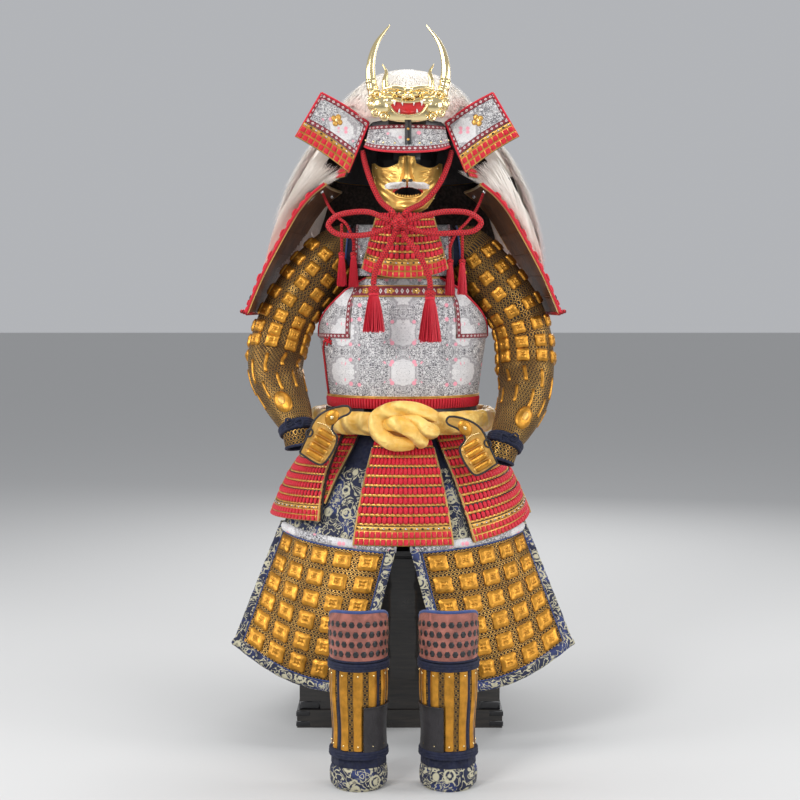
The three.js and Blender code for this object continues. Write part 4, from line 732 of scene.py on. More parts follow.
class Piece:
    """Collects surfaces in millimetres and makes them into one object that rides on the frame."""

    def __init__(self, name):
        self.name = name
        self.verts = []
        self.faces = []
        self.uvs = []
        self.paint = []
        self.materials = []

    def _slot(self, key):
        """The place of a finish among the piece's own."""
        if key not in self.materials:
            self.materials.append(key)
        return self.materials.index(key)

    def add(self, verts, faces, uvs, key):
        """Takes in one surface with its own measure and finish."""
        base = len(self.verts)
        self.verts.extend(verts)
        self.faces.extend(tuple(base + i for i in face) for face in faces)
        self.uvs.extend(uvs)
        self.paint.extend([self._slot(key)] * len(faces))

    def grid(self, rows, key, closed=False, band=False, keep=None):
        """A surface through rows of points; v runs down the rows, or from 0 to 1 on a band."""
        if closed:
            rows = [[*row, row[0]] for row in rows]
        wide = len(rows[0])
        middle = rows[len(rows) // 2]
        across = [0.0]
        for a, b in zip(middle, middle[1:]):
            across.append(across[-1] + (b - a).length * MM)
        down = [0.0]
        for a, b in zip(rows, rows[1:]):
            down.append(down[-1] + (b[wide // 2] - a[wide // 2]).length * MM)
        verts = [point for row in rows for point in row]
        if band:
            down = [r / (len(rows) - 1) for r in range(len(rows))]
        uvs = [(across[c], down[r]) for r in range(len(rows)) for c in range(wide)]
        faces = []
        for r in range(len(rows) - 1):
            for c in range(wide - 1):
                if keep is None or keep((rows[r][c] + rows[r + 1][c + 1]) / 2):
                    a = r * wide + c
                    faces.append((a, a + 1, a + wide + 1, a + wide))
        self.add(verts, faces, uvs, key)

    def tube(self, path, radius, key, sides=8, flat=1.0, up=None, caps=True, ripple=None):
        """A tube along a path; radius is a number or a function of how far along it is."""
        line = [Vector(p) for p in path]
        verts, uvs, faces = [], [], []
        length = 0.0
        side = None
        for i, point in enumerate(line):
            along = (line[min(i + 1, len(line) - 1)] - line[max(i - 1, 0)]).normalized()
            if up is not None:
                side = along.cross(up).normalized()
            elif side is None:
                side = along.orthogonal().normalized()
            else:
                side = (side - along * side.dot(along)).normalized()
            lift = side.cross(along)
            t = i / (len(line) - 1)
            size = radius(t) if callable(radius) else radius
            if i:
                length += (point - line[i - 1]).length * MM
            for k in range(sides + 1):
                turn = 2 * math.pi * k / sides
                reach = size * (ripple(t, turn) if ripple else 1.0)
                verts.append(point + side * (reach * math.cos(turn)) + lift * (reach * flat * math.sin(turn)))
                uvs.append((size * MM * turn, length))
        wide = sides + 1
        for i in range(len(line) - 1):
            for k in range(sides):
                a = i * wide + k
                faces.append((a, a + wide, a + wide + 1, a + 1))
        if caps:
            for end, ring in ((0, 0), (1, (len(line) - 1) * wide)):
                verts.append(line[-1] if end else line[0])
                uvs.append((0.0, length * end))
                hub = len(verts) - 1
                for k in range(sides):
                    face = (ring + k, ring + k + 1, hub)
                    faces.append(face[::-1] if end else face)
        self.add(verts, faces, uvs, key)

    def ball(self, centre, radii, key, rows=6, sides=10, axes=None):
        """A rounded stud or boss with its own three radii."""
        centre = Vector(centre)
        axes = axes or (X_AXIS, Y_AXIS, Z_AXIS)
        grid = []
        for i in range(rows + 1):
            tilt = math.pi * i / rows
            ring = []
            for k in range(sides):
                turn = 2 * math.pi * k / sides
                x = radii[0] * math.sin(tilt) * math.cos(turn)
                y = radii[1] * math.sin(tilt) * math.sin(turn)
                z = radii[2] * math.cos(tilt)
                ring.append(centre + axes[0] * x + axes[1] * y + axes[2] * z)
            grid.append(ring)
        self.grid(grid, key, closed=True)

    def block(self, centre, half, key, axes=None, inset=0.25):
        """A low block with chamfered top edges, lying on the plane of its first two axes."""
        centre = Vector(centre)
        a, b, n = axes or (X_AXIS, Z_AXIS, -Y_AXIS)
        rings = []
        for scale, lift in ((1.0, 0.0), (1.0, 0.55), (1 - inset, 1.0), (0.02, 1.0)):
            ring = []
            for x, y in ((-1, -1), (1, -1), (1, 1), (-1, 1)):
                corner = centre + a * (x * half[0] * scale) + b * (y * half[1] * scale)
                ring.append(corner + n * (half[2] * lift))
            rings.append(ring)
        self.grid(rings, key, closed=True)

    def make(self, replaces=()):
        """Makes the object, with its finish and the frame nodes that it stands for."""
        mesh = bpy.data.meshes.new(self.name)
        mesh.from_pydata([tuple(v * MM) for v in map(Vector, self.verts)], [], self.faces)
        layer = mesh.uv_layers.new(name="measure")
        loops = np.zeros(len(mesh.loops), dtype=np.int32)
        mesh.loops.foreach_get("vertex_index", loops)
        layer.data.foreach_set("uv", np.array(self.uvs, dtype=np.float32)[loops].ravel())
        for key in self.materials:
            mesh.materials.append(M[key])
        mesh.polygons.foreach_set("material_index", self.paint)
        mesh.polygons.foreach_set("use_smooth", [True] * len(mesh.polygons))
        mesh.validate()
        mesh.update()
        obj = add_object(self.name, mesh)
        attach(obj, "root")
        if replaces:
            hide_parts(*replaces)
        return obj


def frame_at(point, a, b, small=0.004):
    """Two directions along a surface and its outward normal at (a, b)."""
    along = (point(a, b + small, 0) - point(a, b - small, 0)).normalized()
    down = (point(a + small, b, 0) - point(a - small, b, 0)).normalized()
    out = (point(a, b, 1) - point(a, b, 0)).normalized()
    return along, down, out


def make_camera():
    """The camera at the photograph's distance, height and tilt."""
    data = bpy.data.cameras.new("camera")
    data.lens = CAMERA["lens"]
    data.sensor_width = CAMERA["film"]
    camera = add_object("camera", data)
    camera.location = CAMERA["place"]
    camera.rotation_euler = (math.radians(CAMERA["tilt"]), 0, 0)
    bpy.context.scene.camera = camera


def beyond(angle, reach):
    """A point in the bow's plane, at an angle and reach from its knot."""
    turn = math.radians(angle)
    return (KNOT[0] + reach * math.cos(turn), KNOT[1], KNOT[2] + reach * math.sin(turn))


def make_tassel(name):
    """A tassel: knob with bound neck, and a skirt of fine strands."""
    x, y, z, foot, head, reach, strands, string = TASSELS[name]
    piece = Piece(name + "_silk")
    piece.ball((x, y, z - head * 0.8), (head * 1.02, head * 1.02, head * 0.82), "rope", 8, 14)
    for band in range(3):
        level = z - head * (1.45 + band * 0.12)
        loop = [(x + head * 0.78 * math.cos(a), y + head * 0.78 * math.sin(a), level) for a in circle(16)]
        piece.tube(loop, head * 0.13, "lacing", 6)
    for i in range(strands):
        spread = math.sqrt((i + 0.5) / strands)
        turn = i * GOLDEN_TURN
        root = head * 0.6 * spread
        tip = reach * 0.98 * spread
        length = (z - foot) * random.uniform(0.93, 0.995)
        wander = random.uniform(-0.12, 0.12)
        path = []
        for t in steps(5):
            flare = mix(root, tip, t ** 0.75)
            angle = turn + wander * t
            depth = mix(head * 1.3, length, t)
            path.append((x + flare * math.cos(angle), y + flare * math.sin(angle), z - depth))
        piece.tube(path, mix(0.75, 1.15, head / 13), "lacing", 4, caps=False)
    if string:
        piece.tube([(x, y, z + string * t - 1) for t in steps(6)], TIE_CORD / 2, "rope", 8)
    return piece.make((name,))


def make_cords():
    """Chin cord with its bow and knot, and the tie cords, each along the frame's own route."""
    tassels = {name: make_tassel(name) for name in TASSELS}
    routes = {}
    for name, (leave, back, points) in CHIN_ROUTES.items():
        route = [beyond(leave, KNOT[3] + 0.4), beyond(leave, KNOT[3] + 12), *points]
        if back is not None:
            route += [beyond(back, KNOT[3] + 12), beyond(back, KNOT[3] + 0.4)]
        routes[name] = (route, CHIN_CORD)
    for name, points in TIE_ROUTES.items():
        routes[name] = (points, TIE_CORD)
    carried = {
        "cord_tail_left": ["tassel_large_left"],
        "cord_tail_right": ["tassel_large_right"],
        "tie_cord_left": ["tassel_left_a", "tassel_left_b"],
        "tie_cord_right": ["tassel_right_a", "tassel_right_b"],
    }
    for name, (route, diameter) in routes.items():
        path = spline(route, 6)
        piece = Piece(name + "_rope")
        piece.tube(path, diameter / 2, "rope", 12)
        obj = piece.make((name,))
        metres = [p * MM for p in path]
        length = sum((b - a).length for a, b in zip(metres, metres[1:]))
        hung = [tassels[key] for key in carried.get(name, [])]
        tuple(metres[0])
        [tuple(p) for p in metres]
    x, y, z, r = KNOT
    knot = Piece("bow_knot_rope")
    for turn in range(3):
        tilt = math.radians(60 * turn - 50)
        loop = []
        for a in circle(20):
            u = (r - 5) * math.cos(a)
            w = 6 * math.sin(a)
            loop.append((x + u * math.cos(tilt) - w * math.sin(tilt), y - 12 * math.sin(a) * 0.9,
                         z + u * math.sin(tilt) + w * math.cos(tilt)))
        knot.tube(loop, 6.6, "rope", 10)
    knot.ball((x, y, z), (r - 5, r - 4, r - 5), "rope", 8, 12)
    knot.make(("bow_knot",))


def laced(piece, point, rows, columns):
    """Laced rows on a surface. Each row has its top and foot, how far out both lie, and its kind:
    bars of red silk over a gold edge, red squares on gold, or a gold band with pale dots."""
    for top, foot, high, low, kind in rows:
        def level(s, top=top, foot=foot, high=high, low=low):
            return mix(top, foot, s), mix(high, low, s)

        width = sum((point(foot, a + 0.25, 0) - point(foot, a, 0)).length for a in (0, 0.25, 0.5, 0.75))
        drop = (point(foot, 0.5, 0) - point(top, 0.5, 0)).length
        pitch = width / columns
        gold = {"bars": 0.68, "squares": 0.0, "dots": 0.0}[kind]
        edge = []
        for s, lift in ((gold, 0.5), (gold + 0.05, 1.3), (0.97, 1.5), (1.0, 0.4)):
            t, out = level(s)
            edge.append([point(t, a, out + lift) for a in steps(columns)])
        piece.grid(edge, "edge")
        for column in range(columns):
            a = (column + 0.5) / columns
            if kind == "bars":
                path = []
                for s, lift in LACE_BAR:
                    t, out = level(s)
                    path.append(point(t, a, out + lift))
                up = (point(top, a, 1) - point(top, a, 0)).normalized()
                piece.tube(path, lambda t: pitch * 0.47 * (1 - 0.5 * abs(2 * t - 1) ** 5), "lacing", 6, 0.55,
                           up)
                t, out = level(0.88)
                piece.ball(point(t, a, out + 1.5), (pitch * 0.42, drop * 0.10, 1.3), "edge", 4, 6,
                           frame_at(point, t, a))
            elif kind == "squares":
                t, out = level(0.5)
                piece.block(point(t, a, out + 1.4), (pitch * 0.40, drop * 0.38, 3.0), "lacing",
                            frame_at(point, t, a))
            else:
                t, out = level(0.5)
                key = "silver" if column % 2 else "black"
                piece.ball(point(t, a, out + 1.6), (pitch * 0.26, drop * 0.26, 1.6), key, 4, 8,
                           frame_at(point, t, a))


def lamed_rows(start, end, lames, outs, per=2):
    """Rows for stepped lames; the last lame carries a dotted band and two rows of squares."""
    rows = []
    for lame in range(lames):
        top = mix(start, end, lame / lames)
        foot = mix(start, end, (lame + 1) / lames)
        parts = [(k / per, (k + 1) / per, "bars") for k in range(per)]
        if lame == lames - 1:
            parts = [(0.0, 0.22, "dots"), (0.22, 0.61, "squares"), (0.61, 1.0, "squares")]
        for low, high, kind in parts:
            rows.append((mix(top, foot, low), mix(top, foot, high), mix(*outs, low), mix(*outs, high), kind))
    return rows


def side_studs(piece, point, start, end, count, outs, inset=0.012):
    """Silver-dotted side edges of a laced panel."""
    for across in (inset, 1 - inset):
        for t in steps(count):
            centre = point(mix(start, end, t), across, mix(*outs, t) + 2.4)
            piece.ball(centre, (1.5, 1.5, 1.5), "silver", 4, 6)
        line = [point(t, across, outs[0] + 1.2) for t in between(start, end, 12)]
        piece.tube(line, 2.4, "trim_gold", 6)


def make_tassets():
    """Laced lames over each of the seven tassets, with silver-dotted side edges."""
    for name, (top_in, low_in, top_out, low_out, layer, low, low_end) in TASSETS.items():
        height = SKIRT_TOP - (low + low_end) / 2
        lace = (SKIRT_TOP - LAMES_TOP) / height
        under = (SKIRT_TOP - BELT_FOOT) / height

        def point(t, across, out):
            angle = mix(mix(top_in, low_in, t), mix(top_out, low_out, t), across)
            lift = 0
            if layer:
                lift = mix(LAYER_AT_BELT, layer, clamp((t - under) / (lace - under)))
            return on_oval(SKIRT, angle, mix(SKIRT_TOP, mix(low, low_end, across), t), out + lift)

        piece = Piece(f"tasset_{name}_lacing")
        width = (point(1, 1, 0) - point(1, 0.5, 0)).length + (point(1, 0.5, 0) - point(1, 0, 0)).length
        columns = round(width / LACE_PITCH)
        top, middle, foot = between(under * 0.9, lace, 2)
        free = [(top, middle, 0.8, 0.8, "bars"), (middle, foot, 0.8, 0.8, "bars")]
        laced(piece, point, free + lamed_rows(lace, 1.0, 5, (5, 1.5)), columns)
        side_studs(piece, point, lace, 1.0, 22, (5, 2))
        piece.make()


def on_apron(angle, t, out):
    """A point on the apron at an angle, t of the way down."""
    foot = mix(APRON["foot"], APRON["foot_out"], (abs(angle) / APRON["half"]) ** 1.2)
    back = mix(4, APRON["behind"], min(1, t * 3))
    return on_oval(SKIRT, angle, mix(APRON["top"], foot, t), out - back)


def on_thigh(across, down):
    """A point on the right thigh panel, with its sag and bow; the left one mirrors it."""
    top = on_apron(mix(THIGH["slit"], APRON["half"], across), 1, 0)
    low = [mix(a, b, across) for a, b in zip(THIGH["low_in"], THIGH["low_out"])]
    swell = math.sin(across * math.pi)
    x = mix(top.x, low[0], down)
    y = mix(top.y, low[1] - THIGH["bow"] * swell, down) - THIGH["belly"] * math.sin(down * math.pi)
    z = mix(top.z - 0.4, low[2] - THIGH["sag"] * swell, down)
    return Vector((x, y, z))


def thigh_point(mirror):
    """The thigh panel's surface on one side."""
    def point(down, across, out):
        small = 0.01
        base = on_thigh(across, down)
        along = on_thigh(across + small, down) - on_thigh(across - small, down)
        fall = on_thigh(across, down + small) - on_thigh(across, down - small)
        base = base - along.cross(fall).normalized() * out
        return Vector((mirror * base.x, base.y, base.z))
    return point


def boss(piece, point, t, a, half_across, half_down, high):
    """An embossed square plate: a rim, four lobes that rise to a round middle, and a stud."""
    along, down, normal = frame_at(point, t, a)
    centre = point(t, a, 2.2)
    rings = []
    for scale, lift in BOSS_SECTION:
        ring = []
        for turn in circle(20)[:-1]:
            c, s = math.cos(turn), math.sin(turn)
            square = 1 / max(abs(c), abs(s))
            shape = mix(1.0, square, clamp((scale - 0.35) / 0.35))
            corner = -math.cos(4 * turn)
            lobes = 1 + (0.30 * corner if 0.25 < scale < 0.60 else 0.0)
            if scale > 0.60:
                lobes += 0.035 * corner * square ** 2
            ring.append(centre + along * (half_across * scale * shape * lobes * c)
                        + down * (half_down * scale * shape * lobes * s) + normal * (high * lift))
        rings.append(ring)
    piece.grid(rings, "plate", closed=True)


def padded_edge(piece, path, key, width, high, up):
    """A padded roll along an edge, with small gathers."""
    piece.tube(path, width, key, 10, high / width, up, ripple=lambda t, turn: 1 + 0.035 * math.sin(t * 140))


def make_apron():
    """Cloth over the apron, dark above and patterned below, with soft folds that the hand would leave."""
    nodes_paint("thigh_apron", "navy")

    def fold(angle, t):
        depth = 0.0
        for place, start, high, width in APRON_FOLDS:
            fade = clamp((t - start) / 0.2)
            depth += high * fade * math.exp(-(((angle - place) / width) ** 2))
        return depth

    half = APRON["half"] - 0.4
    rows = []
    for t in between(0.02, 0.995, 34):
        rows.append([on_apron(angle, t, 0.7 + fold(angle, t)) for angle in between(-half, half, 120)])
    cloth = Piece("apron_cloth")
    dark = APRON["dark_rows"]
    cloth.grid(rows[:dark + 1], "navy")
    cloth.grid(rows[dark:], "floral")
    obj = cloth.make()
    middle_row = rows[20]
    middle_line = [row[60] for row in rows]
    wide = sum((b - a).length for a, b in zip(middle_row, middle_row[1:]))
    tall = sum((b - a).length for a, b in zip(middle_line, middle_line[1:]))


def make_thigh_guard():
    """Ring mail with embossed plates, a padded brocade border and blue piping on both thighs."""
    edge, rows, columns = THIGH["edge"], THIGH["rows"], THIGH["columns"]
    inner = 1 - 2 * edge
    for side, mirror in SIDES:
        nodes_paint(f"thigh_panel_{side}", "navy")
        point = thigh_point(mirror)
        skin = Piece(f"thigh_mail_{side}")
        skin.grid(patch(point, between(edge, 1 - edge, 36), between(edge, 1 - edge, 30), 2.4), "mail")
        obj = skin.make()
        wide = (point(0.5, 1, 0) - point(0.5, 0.5, 0)).length + (point(0.5, 0.5, 0) - point(0.5, 0, 0)).length
        tall = (point(1, 0.5, 0) - point(0, 0.5, 0)).length
        plates = Piece(f"thigh_plates_{side}")
        for row in range(rows):
            for column in range(columns):
                down = mix(edge + 0.01, 0.99 - edge, (row + 0.5) / rows)
                across = mix(edge + 0.01, 0.99 - edge, (column + 0.5) / columns)
                size = 0.5 * (point(down, across + 0.08, 0) - point(down, across - 0.08, 0)).length / 0.16
                half = size * inner / columns * 0.70
                boss(plates, point, down, across, half, tall * inner / (2 * rows) * 0.74, 6)
        plates.make()
        trim = Piece(f"thigh_border_{side}")
        up = frame_at(point, 0.5, 0.5)[2]
        along = steps(30)
        padded_edge(trim, [point(d, edge / 2, 3) for d in along], "floral", 10.5, 7, up)
        padded_edge(trim, [point(d, 1 - edge / 2, 3) for d in along], "floral", 10.5, 7, up)
        padded_edge(trim, [point(1 - edge / 2, a, 3) for a in along], "floral", 10.5, 7, up)
        padded_edge(trim, [point(edge / 2, a, 3) for a in along], "brocade", 10.5, 7, up)
        for fixed in (edge * 1.12, 1 - edge * 1.12):
            trim.tube([point(t, fixed, 2.2) for t in between(edge, 1 - edge, 24)], 2.0, "piping", 6)
            trim.tube([point(fixed, t, 2.2) for t in between(edge, 1 - edge, 24)], 2.0, "piping", 6)
        border = trim.make()


def nodes_paint(name, key):
    """Gives a frame node its material."""
    obj = nodes[name]
    if not obj.material_slots:
        obj.data.materials.append(M[key])
    for slot in obj.material_slots:
        slot.link = "OBJECT"
        slot.material = M[key]


def ring_belt():
    """The padded belt, with its pinches."""
    piece = Piece("belt_cloth")
    rows = []
    section = 18
    for k in range(97):
        angle = 360 * k / 96
        ring = []
        for s in range(section):
            turn = 2 * math.pi * s / section
            pinch = 1 + 0.03 * math.sin(angle * 0.35 + 3 * turn)
            out = BELT["deep"] / 2 * (1 + math.cos(turn) * pinch) + LAYER_AT_BELT + BELT["clear"]
            base = on_oval(SKIRT, angle, BELT["z"], out)
            ring.append(Vector((base.x, base.y, BELT["z"] + BELT["high"] / 2 * math.sin(turn) * pinch)))
        rows.append(ring)
    piece.grid(rows, "satin", closed=True)
    obj = piece.make(("belt",))


def make_belt():
    """The padded belt and the rolls of its knot."""
    ring_belt()
    strand = BELT["strand"]
    front = -smooth_read(SKIRT, 2, BELT["z"]) - BELT["deep"] - LAYER_AT_BELT - strand + 3.4
    piece = Piece("belt_knot_cloth")
    for index, roll in enumerate(BELT_KNOT):
        line = [(x, front + ahead, z) for x, ahead, z in roll]
        piece.tube(spline(line, 12), lambda t: strand * 0.92 * (1 - 0.35 * abs(2 * t - 1) ** 6), "satin", 18,
                   ripple=lambda t, turn: 1 + 0.035 * math.sin(5 * turn + 16 * t + index) * math.cos(23 * t))
    obj = piece.make(("belt_knot",))


def torso_point(z, angle, out):
    """A point on the cuirass."""
    return on_oval(TORSO, angle, z, out)


def band(piece, path_a, path_b, key):
    """A flat woven band between two lines of points."""
    piece.grid([path_a, [(a + b) / 2 for a, b in zip(path_a, path_b)], path_b], key, band=True)


def make_cuirass():
    """Brocade front and back, raised wings, woven trim, the breast band's flowers and the waist's lacing."""
    for name in ("cuirass_front", "cuirass_back", "side_plate_left", "side_plate_right"):
        nodes_paint(name, "leather")
    foot, skin, raised = CUIRASS["foot"], CUIRASS["skin"], CUIRASS["trim"]

    def inner(z):
        return line_read(FRONT_EDGE, 2, z)

    def outer(z):
        return line_read(FRONT_EDGE, 1, z)

    front = Piece("cuirass_front_cloth")
    front.grid([[torso_point(z, g * outer(z), skin) for g in between(-1, 1, 48)]
                for z in between(foot, CUIRASS["front_top"], 40)], "brocade")
    front.make()
    back = Piece("cuirass_back_cloth")
    rows = []
    for z in between(foot, CUIRASS["back_top"], 40):
        edge = line_read(BACK_EDGE, 1, z)
        rows.append([torso_point(z, g, skin) for g in between(edge, 360 - edge, 48)])
    back.grid(rows, "brocade")
    back.make()

    plates = Piece("cuirass_plates_cloth")
    trim = Piece("cuirass_trim")
    for mirror in (-1, 1):
        plates.grid([[torso_point(z, mirror * g, CUIRASS["wing"]) for g in between(inner(z), outer(z), 12)]
                     for z in between(905.4, 1019.6, 16)], "brocade")
        near, far = ([torso_point(z, mirror * (inner(z) + past), raised) for z in between(906, 1019, 16)]
                     for past in (0.3, 3.4))
        band(trim, near, far, "trim")
        lower = [mirror * g for g in between(inner(906), 87.5, 16)]
        band(trim, *patch(torso_point, (906, 916), lower, raised), "trim")
        edge = [torso_point(z, mirror * (outer(z) - 1.6), 4.2) for z in between(908, 1046, 24)]
        trim.tube(edge, 2.8, "lacing", 8, 0.7)
        arm = [torso_point(z, mirror * line_read(BACK_EDGE, 1, z), 2.0) for z in between(905, 1138, 24)]
        trim.tube(arm, 2.8, "lacing", 8, 0.7)
    plates.make()
    low, high, half, middle = (BREAST_BAND[key] for key in ("low", "high", "half", "middle"))
    across = between(-half, half, 32)
    band(trim, *patch(torso_point, (low, high), across, raised), "trim")
    for z in (low - 1, high + 1):
        trim.tube([torso_point(z, g, 4.0) for g in across], 1.4, "edge", 6)
    for g in BREAST_BAND["flowers"]:
        for turn in circle(5)[:-1]:
            centre = torso_point(middle + 4.2 * math.sin(turn), g + 2.0 * math.cos(turn), 5.0)
            trim.ball(centre, (3.4, 1.4, 3.4), "edge", 5, 8)
        trim.ball(torso_point(middle, g, 6), (2.4, 1.6, 2.4), "bright", 5, 8)
    trim.tube([torso_point(1046, g, 3.0) for g in between(-28, 28, 20)], 3.2, "trim_gold", 8)
    trim.make()

    laces = Piece("cuirass_waist_lacing")
    for angle in circle(150, 360)[:-1]:
        path = [torso_point(z, angle, out) for z, out in WAIST_LACE]
        laces.tube(path, 2.9, "lacing", 5, 0.8, caps=False)
    round_waist = circle(72, 360)
    laces.grid(patch(torso_point, (743, 768), round_waist[:-1], 1.3), "lacing", closed=True)
    for z in (768, 771):
        laces.tube([torso_point(z, angle, 2.2) for angle in round_waist], 1.6, "edge", 6)
    laces.tube([torso_point(z, angle, 4) for z, angle in SIDE_TIE], 2.6, "rope", 8)
    bow = torso_point(898, -60, 6)
    for turn in (0, 70, 140):
        a = math.radians(turn)
        laces.tube([bow + Vector((11 * math.cos(a) * s, 3 * s * s - 3, 11 * math.sin(a) * s))
                    for s in (-1, -0.5, 0, 0.5, 1)], 2.8, "rope", 8)
    laces.make()


def sleeve_ring(side, mirror):
    """A sleeve's surface: t runs from shoulder to wrist, and turn once round the arm."""
    drop = ARM_DROP[side]
    column = 0 if side == "left" else 1
    centres = []
    sizes = []
    for i, row in enumerate(SLEEVE):
        fall = drop * clamp((i - 1) / 6)
        centres.append((mirror * row[column], row[2], row[3] - fall))
        sizes.append((row[4], row[5], 0))
    per = 24
    line = spline(centres, per)
    radii = spline(sizes, per)
    last = len(line) - 1

    def point(t, turn, out):
        at = clamp(t) * last
        i = min(int(at), last - 1)
        centre = line[i].lerp(line[i + 1], at - i)
        low, high = max(i - 2, 0), min(i + 3, last)
        along = (line[high] - line[low]).normalized()
        deep = Vector((0, 1, 0)) - along * along.y
        deep.normalize()
        wide = along.cross(deep)
        size = radii[i].lerp(radii[i + 1], at - i)
        a = 2 * math.pi * turn
        return centre + wide * ((size.x + out) * math.cos(a)) + deep * ((size.y + out) * math.sin(a))

    return point


def make_sleeves():
    """Ring mail, rows of embossed plates, splints, elbow boss and wrist ties on both sleeves."""
    for side, mirror in SIDES:
        nodes_paint(f"sleeve_{side}", "navy")
        point = sleeve_ring(side, mirror)
        skin = Piece(f"sleeve_mail_{side}")
        skin.grid(patch(point, between(0.03, 0.86, 70), steps(40)[:-1], 1.9), "mail", closed=True)
        skin.grid(patch(point, between(0.915, 0.997, 8), steps(40)[:-1], 1.4), "mail", closed=True)
        obj = skin.make()
        plates = Piece(f"sleeve_plates_{side}")
        columns = SLEEVE_PLATES["columns"]
        for t in between(SLEEVE_PLATES["top"], SLEEVE_PLATES["low"], SLEEVE_PLATES["rows"] - 1):
            for column in range(columns):
                boss(plates, point, t, (column + 0.5) / columns, *SLEEVE_PLATES["size"])
        for column in range(columns):
            for row, start in enumerate((0.545, 0.645)):
                turn = (column + 0.5 + 0.5 * row) / columns
                splint = [point(start + 0.075 * s, turn, 1.8) for s in steps(5)]
                plates.tube(splint, mix(4.6, 3.6, row), "plate", 8, 0.7,
                            (point(start, turn, 1) - point(start, turn, 0)).normalized())
        for t, turn, size in ((0.50, 0.5, (15, 15, 8)), (0.765, ELBOW_TURN[side], (20, 32, 9))):
            axes = frame_at(point, t, turn)
            plates.ball(point(t, turn, 0), size, "plate", 8, 16, axes)
            plates.ball(point(t, turn, size[2] - 1), (size[0] * 0.4, size[1] * 0.4, 2.4), "edge", 6, 12, axes)
        plates.make()
        ties = Piece(f"sleeve_ties_{side}")
        for t in (0.872, 0.882, 0.893, 0.904):
            ties.tube([point(t, turn, 4.4) for turn in steps(32)], 3.6, "navy", 8)
        ties.tube([point(0.996, turn, 0) for turn in steps(32)], 3.4, "navy", 8)
        ties.tube([point(0.035, turn, 0) for turn in steps(32)], 3.0, "piping", 8)
        bow = point(0.888, 0.75, 8)
        for flip in (-1, 1):
            loop = [bow + Vector((flip * 20 * math.sin(a), -4 * math.sin(a), 9 * math.sin(2 * a)))
                    for a in circle(12, math.pi)]
            ties.tube(loop, 2.4, "navy", 6)
        ties.make()


def make_hand_guards():
    """Finger plates, beads, rim and boss on the back of both hand guards."""
    for side, (x, y, z) in HANDS.items():
        nodes_paint(f"hand_guard_{side}", "edge")
        flip = 1 if side == "left" else -1
        across, down = HAND_TILT
        a = Vector((across, 0, -down * flip))
        b = Vector((down * flip, 0, across))
        n = -Y_AXIS
        origin = Vector((x, y, z))

        def at(u, v, w):
            return origin + a * u + b * v + n * w

        piece = Piece(f"hand_details_{side}")
        for finger in range(4):
            v = -28 + finger * 18
            piece.tube([at(flip + mix(-23, 23, t), v, 4) for t in steps(8)],
                       lambda t: 7.9 * math.sqrt(clamp(1 - abs(2 * t - 1) ** 8, 0.05)), "plate", 14, 0.84, n)
        edge = [at(flip * u, v, 3) for u, v in HAND_OUTLINE]
        piece.tube(spline(edge, 3), 2.6, "black_leather", 8)
        for bead in spline([at(flip * u, v, 5) for u, v in HAND_BEADS], 8):
            piece.ball(bead, (1.6, 1.6, 1.6), "bright", 4, 8)
        piece.ball(at(flip * -8, 66, 3.5), (15, 20, 5), "plate", 8, 14, (a, b, n))
        piece.ball(at(flip * -8, 66, 7.5), (4, 5, 2), "bright", 6, 10, (a, b, n))
        loop = [at(flip * -34 + 7 * math.cos(t), 10 + 9 * math.sin(t), 6) for t in circle(16)]
        piece.tube(loop, 2.2, "black_leather", 8)
        piece.make()


def guard_point(mirror):
    """A shoulder guard's surface: t runs down it, and across from front to back."""
    path = spline([(out, 0, z) for out, z in GUARD], 12)
    last = len(path) - 1

    def point(t, across, lift):
        at = clamp(t) * last
        i = min(int(at), last - 1)
        centre = path[i].lerp(path[i + 1], at - i)
        along = (path[min(i + 2, last)] - path[max(i - 1, 0)]).normalized()
        shift = 6 * math.sin(clamp(across) * math.pi) - 26 * across
        x = mirror * (centre.x - along.z * lift + shift)
        return Vector((x, mix(*GUARD_DEPTH, across), centre.z + along.x * lift))

    return point


def make_shoulder_guards():
    """Laced lames with brocade heads and corded edges on both shoulder guards."""
    for side, mirror in SIDES:
        nodes_paint(f"shoulder_guard_{side}", "leather")
        point = guard_point(mirror)
        piece = Piece(f"shoulder_guard_lacing_{side}")
        laced(piece, point, lamed_rows(0.13, 1.0, 6, (9, 5)), 20)
        piece.grid(patch(point, (0.0, 0.06, 0.125), steps(24), 4.5), "brocade")
        for across in (0.006, 0.994):
            piece.tube([point(t, across, 4.5) for t in steps(40)], 3.0, "lacing", 10, 1.6)
            piece.tube([point(t, across, 0.5) for t in steps(40)], 1.8, "trim_gold", 6)
        for lift in (2, 9, 15):
            piece.tube([point(1.0, a, lift) for a in steps(24)], 4.6, "rope", 10)
        piece.tube([point(0.0, a, 2) for a in steps(24)], 3.6, "trim_gold", 8)
        for a in (0.2, 0.8):
            piece.ball(point(0.06, a, -1), (6, 6, 6), "silver", 6, 10)
        piece.make()
        inside = Piece(f"shoulder_guard_ribs_{side}")
        for lame in range(1, 6):
            t = mix(0.13, 1, lame / 6)
            inside.tube([point(t, a, -0.4) for a in steps(20)], 1.6, "leather", 6, 0.8)
        inside.make()


def helmet_point(angle, z, out):
    """A point on the helmet."""
    return on_oval(HELMET, angle, z, out, HEAD_X, HELMET_Y)


def turn_back_point(mirror):
    """A turn-back's surface: t runs down it, and across from the head's side outwards."""
    corners = [TURN_BACK[key] for key in ("top_in", "top_out", "low_in", "low_out")]

    def point(t, across, out):
        p = [mix(mix(a, b, across), mix(c, d, across), t) for a, b, c, d in zip(*corners)]
        swell = 10 * math.sin(across * math.pi)
        return Vector((HEAD_X - mirror * p[0], p[1] - out + swell * 0.6, p[2] + swell * 0.5))

    return point


